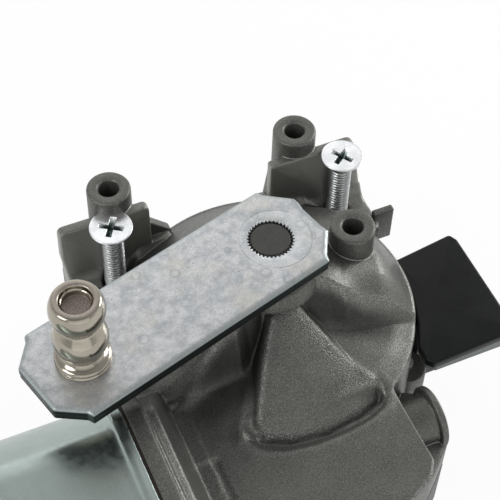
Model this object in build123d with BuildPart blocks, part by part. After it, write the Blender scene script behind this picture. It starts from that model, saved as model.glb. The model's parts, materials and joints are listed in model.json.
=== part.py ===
from build123d import *
from math import cos, pi, radians, sin, tan
import os

# Wiper motor, millimetres. Origin on the output shaft axis in the plane of the boss tops.
# +Z runs out of the output shaft, +X along the motor axis away from the can.

os.makedirs("parts", exist_ok=True)

# ---- driving dimensions -------------------------------------------------------------
# levels of the casting
deck_z = -24.0          # common deck: dome rim, ear plates, worm casing
joint_z = -47.0         # underside of the casting, where the rear cover seats
gasket_t = 1.0
wall_t = 3.0

# dome over the worm wheel
rim_r = 38.6
plateau_r = 18.0
plateau_z = -5.5
hub_r = 11.0
hub_top_z = 1.4
chamber_r = rim_r - wall_t
chamber_roof_z = -28.0
inner_hub_r = 9.5
inner_hub_z = -29.0
hub_bore_r = 6.6

# raised pad on the front of the dome
pad_top_z = -7.3        # height of the pad's cone where it meets the hub
pad_foot_z = -25.7      # and at the dome's rim
pad_foot_gap = 0.7      # from the foot of the pad to the rim
bead_r = 0.9
bead_angle = -62.0
bead_sweep = 46.0

# three mounting bosses
boss_r = 5.75
boss_hole_r = 2.65
boss_hole_depth = 20.0  # blind hole over the wheel chamber; the two outer holes run through
boss_left_x = -28.9
boss_right_x = 23.6
boss_back_y = 36.8
boss_front_y = 1.4

# ears behind the dome
ear_left_x = -43.5
ear_right_x = 42.0
ear_back_y = 38.0
ear_front_left_y = 10.0
ear_front_right_y = 17.0
ear_wall_t = 2.4
ear_wall_top_z = -10.6
ear_plate_t = 6.0
ear_skirt_z = -36.0
ear_skirt_t = 2.5

# mounting screws standing in the ears
screw_xy = [(-31.8, 27.7), (33.2, 26.9)]
screw_head_z = -4.06
screw_head_r = 5.6
screw_head_edge = 0.45
screw_shank_r = 3.0
screw_length = 40.0
screw_lug_r = 6.0
screw_pocket_r = 4.75
screw_pocket_depth = 8.0

# motor axis, parallel to X
motor_z = -35.5
casing_end_x = 20.0
casing_front_gap = 1.5  # the casing's front side lies this far outside the throat

# end boss of the worm shaft
end_boss_r = 6.8
end_boss_x = 28.3
end_collar_r = 8.3
end_collar_x = 30.2
end_shelf_z = -36.0

# motor can
can_r = 31.2
can_flat = 30.2
can_t = 2.2
can_flange_r = 33.5
can_flange_x = -48.2
can_flange_t = 2.8
can_gasket_t = 0.8
can_end_x = -122.0
can_pocket_r = 9.0
can_pocket_depth = 6.0
can_lug_dy = 36.5
can_lug_r = 6.0
can_screw_r = 2.5
case_flange_t = 4.0
throat_r = 29.5
throat_x = -30.0

# worm drive
module = 1.0
worm_pitch_r = 5.5
wheel_gap = 1.6         # between the wheel's teeth and the chamber wall
tooth_play = 0.295      # clearance left at each flank
wheel_width = 8.0
worm_turns = 10.5
wheel_hub_r = 12.0
wheel_rim_r = 27.0
wheel_web_t = 3.0

# output shaft and its bearings
out_shaft_r = 5.0
out_shaft_low_z = -43.0
run_fit = 0.04          # radial running clearance
serration_r = 5.34
serration_root_r = 4.8
serration_teeth = 36
out_shaft_top_z = 7.7

# crank arm and ball stud
crank_reach = 55.3
crank_angle = 195.85
crank_under_z = 3.92
crank_t = 4.0
crank_half_w = 13.8
ball_r = 6.4
ball_low_z = 16.7
ball_high_z = 27.05
stud_top_z = 30.5
stud_collar_r = 6.6
stud_collar_z = 10.3
stud_shank_r = 4.2

# armature
arm_shaft_r = 4.0
arm_end_gap = 0.5
thrust_gap = 0.05
core_r = 22.3
core_end_gap = 15.0     # from the can's closed end
core_front_gap = 19.8   # from the can's flange
core_slots = 12
comm_r = 10.5
comm_x0 = -59.0
comm_x1 = -46.0
magnet_r0 = 23.0
magnet_r1 = 28.8
magnet_margin = 3.0     # beyond the core at both ends

# bearings and brush gear in the casting
rear_bearing_w = 8.0
brush_wall_t = 5.0
brush_seat_x = -42.0
brush_end_x = -40.0
front_bearing_r = 8.0
front_bearing_x0 = -34.0
front_bearing_x1 = -26.0
worm_bore_r = 7.2
end_bush_r = 5.5
end_bush_x0 = 17.0
end_bush_x1 = 26.0
thrust_x = 27.0
thrust_r = 4.2

# rear cover, board and connector
rest_z = motor_z - can_flat
cover_wall_t = 2.5
cover_lug_r = 5.5
cover_screw_r = 1.8
rim_lugs = [(-31.0, -0.7), (162.0, 3.5), (90.0, 2.4)]   # angle about the shaft, distance outside the rim
board_z = -55.6
board_t = 1.6
plug_y0 = -14.0
plug_y1 = 4.0
plug_gap = 0.7          # between the dome and the connector
plug_w = 18.7
plug_top_z = -26.0
plug_side_z = -33.0
plug_low_z = -47.0
terminal_ys = [-11.0, -8.0, -5.0, -2.0, 1.0]
terminal_w = 1.6
terminal_t = 0.8

# ---- values that follow from the driving dimensions ---------------------------------
lead = pi * module
wheel_teeth = 2 * int(chamber_r / module - wheel_gap / module - 1 + 1e-6)
wheel_pitch_r = wheel_teeth * module / 2
wheel_tip_r = wheel_pitch_r + module
wheel_root_r = wheel_pitch_r - 1.25 * module
worm_tip_r = worm_pitch_r + module
worm_root_r = worm_pitch_r - 1.25 * module
motor_y = -(wheel_pitch_r + worm_pitch_r)
flank = tan(radians(20))
half_tooth = lead / 4 - tooth_play / 2
wheel_mid_z = motor_z
wheel_low_z = wheel_mid_z - wheel_width / 2
wheel_tilt = wheel_width / 2 * lead / (2 * pi * worm_pitch_r) / wheel_pitch_r * 180 / pi
cover_top_z = joint_z - gasket_t
case_flange_x0 = can_flange_x + can_gasket_t
case_flange_x1 = case_flange_x0 + case_flange_t
crank_top_z = crank_under_z + crank_t
can_inner_r = can_r - can_t
can_inner_flat = can_flat - can_t
can_pocket_x = can_end_x - can_pocket_depth
arm_shaft_x0 = can_pocket_x + can_t + arm_end_gap
arm_shaft_x1 = thrust_x - thrust_gap
core_x0 = can_end_x + core_end_gap
core_x1 = can_flange_x - core_front_gap
magnet_x0 = core_x0 - magnet_margin
magnet_x1 = core_x1 + magnet_margin
brush_bore_r = throat_r - brush_wall_t
casing_back_y = motor_y + throat_r
casing_front_y = motor_y - throat_r - casing_front_gap
plug_x0 = rim_r + plug_gap
plug_x1 = plug_x0 + plug_w
neck_x0 = rim_r - 8.6
boss_xy = [(boss_left_x, boss_back_y), (boss_right_x, boss_back_y), (boss_right_x, boss_front_y)]
case_outline = [
    (casing_end_x, motor_y + 13.5), (casing_end_x, motor_y - 16.6), (casing_end_x - 2.6, motor_y - 20.4),
    (casing_end_x - 9.7, motor_y - 24.0), (casing_end_x - 18.7, casing_front_y),
    (case_flange_x1, casing_front_y),
    (case_flange_x1, casing_back_y), (throat_x, casing_back_y),
]
cover_outline = [*case_outline[:5], (throat_x + 0.3, casing_front_y), (throat_x + 0.3, casing_back_y)]
shelf_outline = [
    (casing_end_x, motor_y - 16.6), (casing_end_x + 1.9, motor_y - 15.2),
    (casing_end_x + 10.4, motor_y - 7.7), (casing_end_x + 10.4, motor_y + 7.7),
    (casing_end_x, motor_y + 13.5),
]
cover_screw_xy = [
    *[((rim_r + out) * cos(radians(angle)), (rim_r + out) * sin(radians(angle))) for angle, out in rim_lugs],
    (-22.0, casing_front_y + 6.0), (8.0, motor_y - 19.0),
]


def motor_plane(x):
    """Plane across the motor axis at x: its own x is +Y, its own y is +Z."""
    return Plane(origin=(x, motor_y, motor_z), x_dir=(0, 1, 0), z_dir=(1, 0, 0))


def motor_tube(x0, x1, outer_r, inner_r=0.0):
    """Round bar or tube on the motor axis."""
    with BuildPart() as tube:
        with BuildSketch(motor_plane(x0)):
            Circle(outer_r)
            if inner_r > 0:
                Circle(inner_r, mode=Mode.SUBTRACT)
        extrude(amount=x1 - x0)
    return tube.part


def flatted_bar(x0, x1, radius, half_flat):
    """Bar on the motor axis, round with a flat above and below."""
    with BuildPart() as bar:
        with BuildSketch(motor_plane(x0)):
            Circle(radius)
            Rectangle(2 * radius, 2 * half_flat, mode=Mode.INTERSECT)
        extrude(amount=x1 - x0)
    return bar.part


def shaft_ring(z0, z1, inner_r, outer_r):
    """Ring on the output shaft axis."""
    with BuildPart() as ring:
        with BuildSketch(Plane.XY.offset(z0)):
            Circle(outer_r)
            Circle(inner_r, mode=Mode.SUBTRACT)
        extrude(amount=z1 - z0)
    return ring.part


def column(x, y, z0, z1, radius):
    """Upright round column."""
    with BuildPart() as post:
        with BuildSketch(Plane.XY.offset(z0)):
            with Locations((x, y)):
                Circle(radius)
        extrude(amount=z1 - z0)
    return post.part


def dome_cutter(plan, floor, outer_r):
    """Everything over a cone-shaped floor, inside a plan outline and clear of the hub."""
    with BuildPart() as cutter:
        with BuildSketch(Plane.XY.offset(deck_z - 4)):
            with BuildLine():
                Polyline(*plan, close=True)
            make_face()
            Circle(outer_r, mode=Mode.INTERSECT)
            Circle(hub_r + 0.6, mode=Mode.SUBTRACT)
        extrude(amount=40)
        with BuildSketch(Plane.XZ):
            with BuildLine():
                Polyline(
                    (0, -60), (70, -60), (70, floor[-1][1]), *reversed(floor), (0, floor[0][1]), close=True)
            make_face()
        revolve(axis=Axis.Z, mode=Mode.SUBTRACT)
    return cutter.part


def seat_plate(z, height, inset, lug_r, lug_mode=Mode.ADD):
    """Plate in the outline of the joint face, with its screw lugs added or left out."""
    with BuildPart() as plate:
        with BuildSketch(Plane.XY.offset(z)):
            with BuildLine():
                Polyline(*cover_outline, close=True)
            make_face()
            Circle(rim_r)
            with BuildLine():
                Polyline(*shelf_outline, close=True)
            make_face()
            if inset > 0:
                offset(amount=-inset, kind=Kind.INTERSECTION)
            with Locations((throat_x + 0.3 + inset, casing_back_y + 0.3 + inset)):
                Rectangle(20.0, 70.0, align=(Align.MAX, Align.MAX), mode=Mode.SUBTRACT)
            with Locations(*cover_screw_xy):
                Circle(lug_r, mode=lug_mode)
        extrude(amount=height)
    return plate.part


# ---- gear housing: die-cast casting ---------------------------------------------------
right_ridge = [(12.0, -8.5), (15.4, -12.0), (19.7, -13.7), (25.9, -15.1), (32.6, -16.4), (42.0, -18.3)]
left_ridge = [(-11.0, -8.5), (-14.2, -11.9), (-20.0, -12.6), (-28.0, -13.2), (-42.0, -14.2)]
pad_right = [(2.9, -11.6), (17.9, -34.0), (24.0, -45.0)]
pad_left = [(-5.0, -11.6), (-18.6, -32.8), (-27.0, -45.0)]
pad_floor = [(hub_r, pad_top_z), (rim_r, pad_foot_z)]
right_floor = [(hub_r, -12.6), (rim_r, deck_z)]
left_floor = [(hub_r, -15.6), (rim_r - 4.6, deck_z)]

right_cut = dome_cutter([*right_ridge, (45, -45), *reversed(pad_right)], right_floor, rim_r)
left_cut = dome_cutter([*left_ridge, (-45, -45), *reversed(pad_left)], left_floor, rim_r)
pad_cut = dome_cutter([*pad_right, *reversed(pad_left)], pad_floor, rim_r - pad_foot_gap)

with BuildPart() as dome:
    with BuildSketch(Plane.XZ):
        with BuildLine():
            Polyline(
                (0, joint_z), (rim_r, joint_z), (rim_r, deck_z + 1.2), (rim_r - 1.2, deck_z + 1.9),
                (plateau_r + 1.2, plateau_z - 0.8), (plateau_r - 1.6, plateau_z + 0.5), (hub_r + 1.0, -3.4),
                (hub_r, -2.4), (hub_r, hub_top_z - 0.6), (hub_r - 0.6, hub_top_z), (0, hub_top_z), close=True)
        make_face()
    revolve(axis=Axis.Z)
    for cutter in (right_cut, left_cut, pad_cut):
        add(cutter, mode=Mode.SUBTRACT)

with BuildPart() as left_wall:
    with BuildSketch(Plane.XZ.offset(-ear_back_y)):
        with BuildLine():
            Polyline(
                (ear_left_x, ear_skirt_z), (ear_left_x, ear_wall_top_z), (-18.9, ear_wall_top_z),
                (-18.9, -18.7), (-12.0, -24.6), (-12.0, ear_skirt_z), close=True)
        make_face()
    extrude(amount=ear_wall_t)
    fillet(left_wall.edges().filter_by(Axis.Y).group_by(Axis.Z)[-1], radius=2.6)

with BuildPart() as right_wall:
    with BuildSketch(Plane.XZ.offset(-ear_back_y)):
        with BuildLine():
            Polyline(
                (ear_right_x, ear_skirt_z), (ear_right_x, ear_wall_top_z), (17.1, ear_wall_top_z),
                (15.6, -13.0), (11.6, deck_z), (11.6, ear_skirt_z), close=True)
        make_face()
    extrude(amount=ear_wall_t)
    fillet(right_wall.edges().filter_by(Axis.Y).group_by(Axis.Z)[-1], radius=1.6)

with BuildPart() as gear_housing:
    add(dome.part)
    # worm casing and compartment under the deck
    with BuildSketch(Plane.XY.offset(joint_z)):
        with BuildLine():
            Polyline(*case_outline, close=True)
        make_face()
    extrude(amount=deck_z - joint_z)
    with BuildSketch(Plane.XY.offset(joint_z)):
        with BuildLine():
            Polyline(*shelf_outline, close=True)
        make_face()
    extrude(amount=end_shelf_z - joint_z)
    # flange and throat that carry the motor can
    add(flatted_bar(case_flange_x0, case_flange_x1, can_flange_r, can_flat))
    for side in (-1, 1):
        with BuildSketch(motor_plane(case_flange_x0)):
            with Locations((side * can_lug_dy, 0)):
                Circle(can_lug_r)
        extrude(amount=case_flange_t + 5.0)
    with BuildSketch(motor_plane(case_flange_x1)):
        Circle(throat_r)
        Rectangle(2 * throat_r, 2 * throat_r - 5.0, mode=Mode.INTERSECT)
    with BuildSketch(motor_plane(case_flange_x1 + 3.4)):
        Circle(throat_r)
        Rectangle(2 * throat_r, 2 * throat_r - 9.0, mode=Mode.INTERSECT)
    loft(ruled=True)
    with BuildSketch(motor_plane(case_flange_x1 + 3.4)):
        Circle(throat_r)
        Rectangle(2 * throat_r, 2 * throat_r - 9.0, mode=Mode.INTERSECT)
    with BuildSketch(motor_plane(-34.0)):
        Circle(throat_r)
        Rectangle(2 * throat_r, 2 * (deck_z - motor_z), mode=Mode.INTERSECT)
    loft(ruled=True)
    with BuildSketch(motor_plane(case_flange_x1)):
        Circle(throat_r)
        with Locations((0, (joint_z + rest_z) / 2 - motor_z)):
            Rectangle(2 * throat_r, joint_z - rest_z, mode=Mode.INTERSECT)
    extrude(amount=throat_x - case_flange_x1)
    # end boss of the worm shaft
    add(motor_tube(casing_end_x - 2, end_boss_x, end_boss_r))
    add(motor_tube(end_boss_x, end_collar_x, end_collar_r))
    # ears
    with BuildSketch(Plane.XY.offset(deck_z - ear_plate_t)):
        with Locations((ear_left_x, ear_back_y)):
            Rectangle(31.0, ear_back_y - ear_front_left_y, align=(Align.MIN, Align.MAX))
        with Locations((ear_right_x, ear_back_y)):
            Rectangle(30.4, ear_back_y - ear_front_right_y, align=(Align.MAX, Align.MAX))
    extrude(amount=ear_plate_t)
    with BuildSketch(Plane.XY.offset(ear_skirt_z)):
        with Locations((ear_left_x, ear_back_y)):
            Rectangle(ear_skirt_t, ear_back_y - ear_front_left_y, align=(Align.MIN, Align.MAX))
        with Locations((ear_left_x, ear_front_left_y)):
            Rectangle(8.0, ear_skirt_t, align=(Align.MIN, Align.MIN))
        with Locations((ear_right_x, ear_back_y)):
            Rectangle(ear_skirt_t, ear_back_y - ear_front_right_y, align=(Align.MAX, Align.MAX))
        with Locations((ear_right_x, ear_front_right_y)):
            Rectangle(8.0, ear_skirt_t, align=(Align.MAX, Align.MIN))
        with Locations((ear_right_x, ear_front_right_y + 2.1)):
            Rectangle(5.1, 2.0, align=(Align.MIN, Align.MIN))
    extrude(amount=deck_z - ear_skirt_z)
    add(left_wall.part)
    add(right_wall.part)
    # lugs of the mounting screws and of the rear cover
    with BuildSketch(Plane.XY.offset(joint_z)):
        with Locations(*screw_xy):
            Circle(screw_lug_r)
    extrude(amount=deck_z - joint_z)
    with BuildSketch(Plane.XY.offset(joint_z)):
        with Locations(*cover_screw_xy):
            Circle(cover_lug_r)
    extrude(amount=7.0)
    # bead round the foot of the raised pad
    with BuildSketch(Plane.XZ.rotated((0, 0, bead_angle))):
        with Locations((rim_r + 0.4, deck_z - 0.6 * bead_r)):
            Circle(bead_r)
    revolve(axis=Axis.Z, revolution_arc=-bead_sweep)
    # wheel chamber with its raised roof under the back of the dome
    with BuildSketch(Plane.XZ):
        with BuildLine():
            Polyline(
                (inner_hub_r, joint_z), (chamber_r, joint_z), (chamber_r, chamber_roof_z - 0.6),
                (chamber_r - 2, chamber_roof_z + 0.2), (15.0, -20.6), (inner_hub_r, -20.6), close=True)
        make_face()
    revolve(axis=Axis.Z, mode=Mode.SUBTRACT)
    with BuildSketch(Plane.XZ):
        with BuildLine():
            Polyline((13.2, -21.0), (13.2, -7.2), (34.0, -25.6), (34.0, -30.0), close=True)
        make_face()
    revolve(axis=Axis.Z, revolution_arc=180, mode=Mode.SUBTRACT)
    with BuildSketch(Plane.XY.offset(joint_z)):
        Circle(inner_hub_r + 0.1)
    extrude(amount=inner_hub_z - joint_z, mode=Mode.SUBTRACT)
    # pocket under the front of the worm casing
    with BuildSketch(Plane.XY.offset(joint_z)):
        with BuildLine():
            Polyline(
                (-27.0, casing_front_y + wall_t), (-1.0, casing_front_y + wall_t), (9.0, motor_y - 21.1),
                (casing_end_x - 5.0, motor_y - 18.3), (casing_end_x - wall_t, motor_y - 14.5),
                (casing_end_x - wall_t, motor_y - 11.1), (-27.0, motor_y - 11.1), close=True)
        make_face()
        with Locations(*cover_screw_xy):
            Circle(cover_lug_r, mode=Mode.SUBTRACT)
    extrude(amount=deck_z - wall_t - joint_z, mode=Mode.SUBTRACT)
    # shallow sunk patch in the deck beside the can
    with BuildSketch(Plane.XY.offset(deck_z)):
        with Locations((-34.0, motor_y - 7.5)):
            Rectangle(5.5, 12.0, align=(Align.MIN, Align.MIN))
    extrude(amount=-1.5, mode=Mode.SUBTRACT)
    # bosses
    with BuildSketch(Plane.XY.offset(ear_skirt_z)):
        with Locations(boss_xy[0], boss_xy[1]):
            Circle(boss_r)
    extrude(amount=-ear_skirt_z)
    with BuildSketch(Plane.XY.offset(chamber_roof_z)):
        with Locations(boss_xy[2]):
            Circle(boss_r)
    extrude(amount=-chamber_roof_z)
    with Locations((*boss_xy[0], 0), (*boss_xy[1], 0)):
        CounterSinkHole(boss_hole_r, boss_hole_r + 0.5, depth=1.0 - ear_skirt_z, counter_sink_angle=90)
    with Locations((*boss_xy[2], 0)):
        CounterSinkHole(boss_hole_r, boss_hole_r + 0.5, depth=boss_hole_depth, counter_sink_angle=90)
    # relief beside the left boss for the screw head
    add(column(*screw_xy[0], screw_head_z - 8.0, screw_head_z + 0.15, screw_head_r + 0.1), mode=Mode.SUBTRACT)
    # mounting screw holes with a pocket round each screw's foot
    with Locations(*[(x, y, deck_z) for x, y in screw_xy]):
        CounterBoreHole(screw_shank_r + 0.02, screw_pocket_r, screw_pocket_depth, depth=deck_z - joint_z + 1)
    # rear cover screw holes
    for x, y in cover_screw_xy:
        add(column(x, y, joint_z, joint_z + 10.0, cover_screw_r), mode=Mode.SUBTRACT)
    # hub bore and seal seat
    with Locations((0, 0, hub_top_z)):
        CounterBoreHole(hub_bore_r, 8.0, 3.0, depth=40)
    # motor axis: brush compartment, front bearing, worm bore, end bush and thrust screw
    add(motor_tube(case_flange_x0, brush_seat_x, brush_bore_r), mode=Mode.SUBTRACT)
    add(motor_tube(brush_seat_x, brush_end_x, brush_bore_r - 2.5), mode=Mode.SUBTRACT)
    add(motor_tube(brush_end_x, front_bearing_x0, 6.0), mode=Mode.SUBTRACT)
    add(motor_tube(front_bearing_x0, front_bearing_x1, front_bearing_r), mode=Mode.SUBTRACT)
    add(motor_tube(front_bearing_x1, end_bush_x0, worm_bore_r), mode=Mode.SUBTRACT)
    add(motor_tube(end_bush_x0, end_bush_x1, end_bush_r), mode=Mode.SUBTRACT)
    add(motor_tube(end_bush_x1, end_collar_x, thrust_r), mode=Mode.SUBTRACT)
    for side in (-1, 1):
        with BuildSketch(motor_plane(case_flange_x0)):
            with Locations((side * can_lug_dy, 0)):
                Circle(can_screw_r)
        extrude(amount=10.0, mode=Mode.SUBTRACT)
gear_housing.part.label = "gear_housing"

# ---- worm shaft, commutator and core --------------------------------------------------
with BuildPart() as thread:
    with BuildLine():
        Helix(pitch=lead, height=lead * worm_turns, radius=worm_pitch_r)
    with BuildSketch(Plane.XZ):
        with BuildLine():
            Polyline(
                (worm_tip_r, half_tooth - module * flank), (worm_tip_r, -half_tooth + module * flank),
                (worm_root_r - 0.3, -half_tooth - 1.55 * flank),
                (worm_root_r - 0.3, half_tooth + 1.55 * flank), close=True)
        make_face()
    sweep(is_frenet=True)
# the first flank starts 5.25 turns before the middle, so a thread faces the wheel at x = 0
worm_start_x = -worm_turns / 2 * lead
thread_in_place = Location((worm_start_x, motor_y, motor_z), (0, 90, 0)) * thread.part

with BuildPart() as armature_shaft:
    add(motor_tube(arm_shaft_x0, arm_shaft_x1, arm_shaft_r))
    add(motor_tube(worm_start_x - 2, -worm_start_x + 2, worm_root_r))
    add(thread_in_place)
    chamfer(armature_shaft.edges().filter_by(GeomType.CIRCLE).group_by(Axis.X)[0], length=0.6)
armature_shaft.part.label = "armature_shaft"

with BuildPart() as armature_core:
    add(motor_tube(core_x0, core_x1, core_r, arm_shaft_r))
    with BuildSketch(motor_plane(core_x0)):
        with PolarLocations(0, core_slots):
            with Locations((core_r, 0)):
                Rectangle(3.0, 1.8)
            with Locations((15.6, 0)):
                SlotOverall(9.4, 4.4)
    extrude(amount=core_x1 - core_x0, mode=Mode.SUBTRACT)
armature_core.part.label = "armature_core"

with BuildPart() as windings:
    with BuildSketch(motor_plane(core_x0)):
        with PolarLocations(0, core_slots):
            with Locations((15.6, 0)):
                SlotOverall(9.4, 4.4)
    extrude(amount=core_x1 - core_x0)
    # coil heads at both ends of the core
    with BuildSketch(Plane(origin=(core_x0, motor_y, motor_z), x_dir=(-1, 0, 0), z_dir=(0, 1, 0))):
        with BuildLine():
            Polyline((0, 7.5), (7.0, 7.5), (9.0, 10.5), (7.0, 18.0), (2.5, 20.6), (0, 20.6), close=True)
        make_face()
    revolve(axis=Axis((0, motor_y, motor_z), (1, 0, 0)))
    with BuildSketch(Plane(origin=(core_x1, motor_y, motor_z), x_dir=(1, 0, 0), z_dir=(0, -1, 0))):
        with BuildLine():
            Polyline((0, 7.5), (4.5, 7.5), (6.6, 10.5), (5.0, 18.0), (2.0, 20.6), (0, 20.6), close=True)
        make_face()
    revolve(axis=Axis((0, motor_y, motor_z), (1, 0, 0)))
windings.part.label = "windings"

with BuildPart() as commutator:
    add(motor_tube(comm_x0, comm_x1, comm_r, arm_shaft_r))
    add(motor_tube(comm_x0 - 2.0, comm_x0, comm_r + 1.6, arm_shaft_r))
    with BuildSketch(motor_plane(comm_x0)):
        with PolarLocations(0, core_slots):
            with Locations((comm_r, 0)):
                Rectangle(1.6, 0.6)
    extrude(amount=comm_x1 - comm_x0, mode=Mode.SUBTRACT)
commutator.part.label = "commutator"

# ---- motor can, magnets and rear bearing ----------------------------------------------
with BuildPart() as motor_can:
    add(flatted_bar(can_end_x, can_flange_x, can_r, can_flat))
    fillet(motor_can.edges().group_by(Axis.X)[0], radius=4.0)
    add(motor_tube(can_pocket_x, can_end_x + 1, can_pocket_r))
    add(flatted_bar(can_flange_x - can_flange_t, can_flange_x, can_flange_r, can_flat))
    with BuildSketch(motor_plane(can_flange_x - can_flange_t)):
        with Locations((-can_lug_dy, 0), (can_lug_dy, 0)):
            Circle(can_lug_r)
    extrude(amount=can_flange_t)
    add(flatted_bar(can_end_x + can_t, can_flange_x, can_inner_r, can_inner_flat), mode=Mode.SUBTRACT)
    add(motor_tube(can_pocket_x + can_t, can_end_x + can_t, can_pocket_r - can_t), mode=Mode.SUBTRACT)
    with BuildSketch(motor_plane(can_flange_x - can_flange_t)):
        with Locations((-can_lug_dy, 0), (can_lug_dy, 0)):
            Circle(can_screw_r)
    extrude(amount=can_flange_t, mode=Mode.SUBTRACT)
motor_can.part.label = "motor_can"

with BuildPart() as flange_gasket:
    add(flatted_bar(can_flange_x, case_flange_x0, can_flange_r - 0.6, can_flat - 0.6))
    with BuildSketch(motor_plane(can_flange_x)):
        with Locations((-can_lug_dy, 0), (can_lug_dy, 0)):
            Circle(can_lug_r - 0.5)
    extrude(amount=can_gasket_t)
    add(motor_tube(can_flange_x, case_flange_x0, can_inner_r - 1.0), mode=Mode.SUBTRACT)
    with BuildSketch(motor_plane(can_flange_x)):
        with Locations((-can_lug_dy, 0), (can_lug_dy, 0)):
            Circle(can_screw_r)
    extrude(amount=can_gasket_t, mode=Mode.SUBTRACT)
flange_gasket.part.label = "flange_gasket"

with BuildPart() as can_screws:
    with BuildSketch(motor_plane(can_flange_x - can_flange_t)):
        with Locations((-can_lug_dy, 0), (can_lug_dy, 0)):
            Circle(can_screw_r)
    extrude(amount=can_flange_t + can_gasket_t + 9.0)
    with BuildSketch(motor_plane(can_flange_x - can_flange_t)):
        with Locations((-can_lug_dy, 0), (can_lug_dy, 0)):
            RegularPolygon(radius=4.6, side_count=6)
    extrude(amount=-3.5)
can_screws.part.label = "can_screws"

with BuildPart() as magnets:
    with BuildSketch(motor_plane(magnet_x0)):
        Circle(magnet_r1)
        Circle(magnet_r0, mode=Mode.SUBTRACT)
        with BuildLine():
            Polyline((0, 0), (60 * cos(radians(62)), 60 * sin(radians(62))),
                     (-60 * cos(radians(62)), 60 * sin(radians(62))), close=True)
        make_face(mode=Mode.SUBTRACT)
        with BuildLine():
            Polyline((0, 0), (60 * cos(radians(62)), -60 * sin(radians(62))),
                     (-60 * cos(radians(62)), -60 * sin(radians(62))), close=True)
        make_face(mode=Mode.SUBTRACT)
    extrude(amount=magnet_x1 - magnet_x0)
magnets.part.label = "magnets"

with BuildPart() as magnet_clips:
    with BuildSketch(motor_plane(magnet_x0 + 3)):
        Circle(can_inner_flat - 0.1)
        Circle(can_inner_flat - 0.8, mode=Mode.SUBTRACT)
        Rectangle(2 * can_inner_flat * cos(radians(63.5)), 2 * can_inner_r, mode=Mode.INTERSECT)
    extrude(amount=magnet_x1 - magnet_x0 - 6)
magnet_clips.part.label = "magnet_clips"

pocket_floor_x = can_pocket_x + can_t
rear_bearing = motor_tube(
    pocket_floor_x, pocket_floor_x + rear_bearing_w, can_pocket_r - can_t, arm_shaft_r + run_fit)
rear_bearing.label = "rear_bearing"
front_bearing = motor_tube(front_bearing_x0, front_bearing_x1, front_bearing_r, arm_shaft_r + run_fit)
front_bearing.label = "front_bearing"
end_bearing = motor_tube(end_bush_x0, end_bush_x1, end_bush_r, arm_shaft_r + run_fit)
end_bearing.label = "end_bearing"

with BuildPart() as thrust_screw:
    add(motor_tube(thrust_x, end_collar_x - 0.4, thrust_r))
    with BuildSketch(motor_plane(end_collar_x - 0.4)):
        Rectangle(6.6, 1.2)
    extrude(amount=-1.2, mode=Mode.SUBTRACT)
thrust_screw.part.label = "thrust_screw"

# ---- brush gear -------------------------------------------------------------------------
card_x0 = brush_seat_x - 2.0
brush_w = 6.0
holder_x0 = card_x0 - brush_w - 2.0
holder_in_r = comm_r + 2.0
holder_out_r = brush_bore_r - 1.0
brush_in_r = comm_r - 0.5
brush_out_r = holder_out_r - 3.9
choke_y = brush_bore_r - 7.0
with BuildPart() as brush_card:
    add(motor_tube(card_x0, brush_seat_x, brush_bore_r - 0.05, comm_r + 1.5))
brush_card.part.label = "brush_card"

with BuildPart() as brush_holders:
    for side in (-1, 1):
        with BuildSketch(motor_plane(holder_x0)):
            with Locations((0, side * (holder_out_r + holder_in_r) / 2)):
                Rectangle(brush_w + 2.0, holder_out_r - holder_in_r)
        extrude(amount=card_x0 - holder_x0)
        with BuildSketch(motor_plane(holder_x0 + 1)):
            with Locations((0, side * ((holder_out_r + holder_in_r) / 2 - 1.0))):
                Rectangle(brush_w, holder_out_r - holder_in_r)
        extrude(amount=brush_w, mode=Mode.SUBTRACT)
brush_holders.part.label = "brush_holders"

with BuildPart() as carbon_brushes:
    for side in (-1, 1):
        with BuildSketch(motor_plane(holder_x0 + 1)):
            with Locations((0, side * (brush_out_r + brush_in_r) / 2)):
                Rectangle(brush_w, brush_out_r - brush_in_r)
        extrude(amount=brush_w)
    add(motor_tube(holder_x0, card_x0, comm_r + run_fit), mode=Mode.SUBTRACT)
carbon_brushes.part.label = "carbon_brushes"

with BuildPart() as brush_springs:
    for side in (-1, 1):
        with BuildSketch(Plane(origin=(holder_x0 + 1 + brush_w / 2, motor_y, motor_z + side * brush_out_r),
                               x_dir=(1, 0, 0), z_dir=(0, 0, side))):
            Circle(2.4)
            Circle(1.7, mode=Mode.SUBTRACT)
        extrude(amount=holder_out_r - 1.0 - brush_out_r)
brush_springs.part.label = "brush_springs"

with BuildPart() as choke_coils:
    for side in (-1, 1):
        with BuildSketch(motor_plane(holder_x0)):
            with Locations((side * choke_y, 8.0 * side)):
                Circle(2.6)
        extrude(amount=card_x0 - holder_x0)
choke_coils.part.label = "choke_coils"

# ---- output shaft group -----------------------------------------------------------------
with BuildPart() as output_shaft:
    with BuildSketch(Plane.XZ):
        with BuildLine():
            Polyline(
                (0, out_shaft_low_z), (4.4, out_shaft_low_z), (out_shaft_r, out_shaft_low_z + 0.6),
                (out_shaft_r, 2.2), (4.4, 2.2), (4.4, 3.3), (out_shaft_r, 3.3), (out_shaft_r, crank_under_z),
                (serration_root_r, crank_under_z), (serration_root_r, out_shaft_top_z), (0, out_shaft_top_z),
                close=True)
        make_face()
    revolve(axis=Axis.Z)
    with BuildSketch(Plane.XY.offset(crank_under_z)):
        Circle(serration_root_r)
        with PolarLocations(serration_root_r - 0.1, serration_teeth):
            Trapezoid(
                0.78, serration_r - serration_root_r + 0.1, 62, rotation=-90, align=(Align.CENTER, Align.MIN))
    extrude(amount=out_shaft_top_z - crank_under_z - 0.25)
output_shaft.part.label = "output_shaft"

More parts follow.
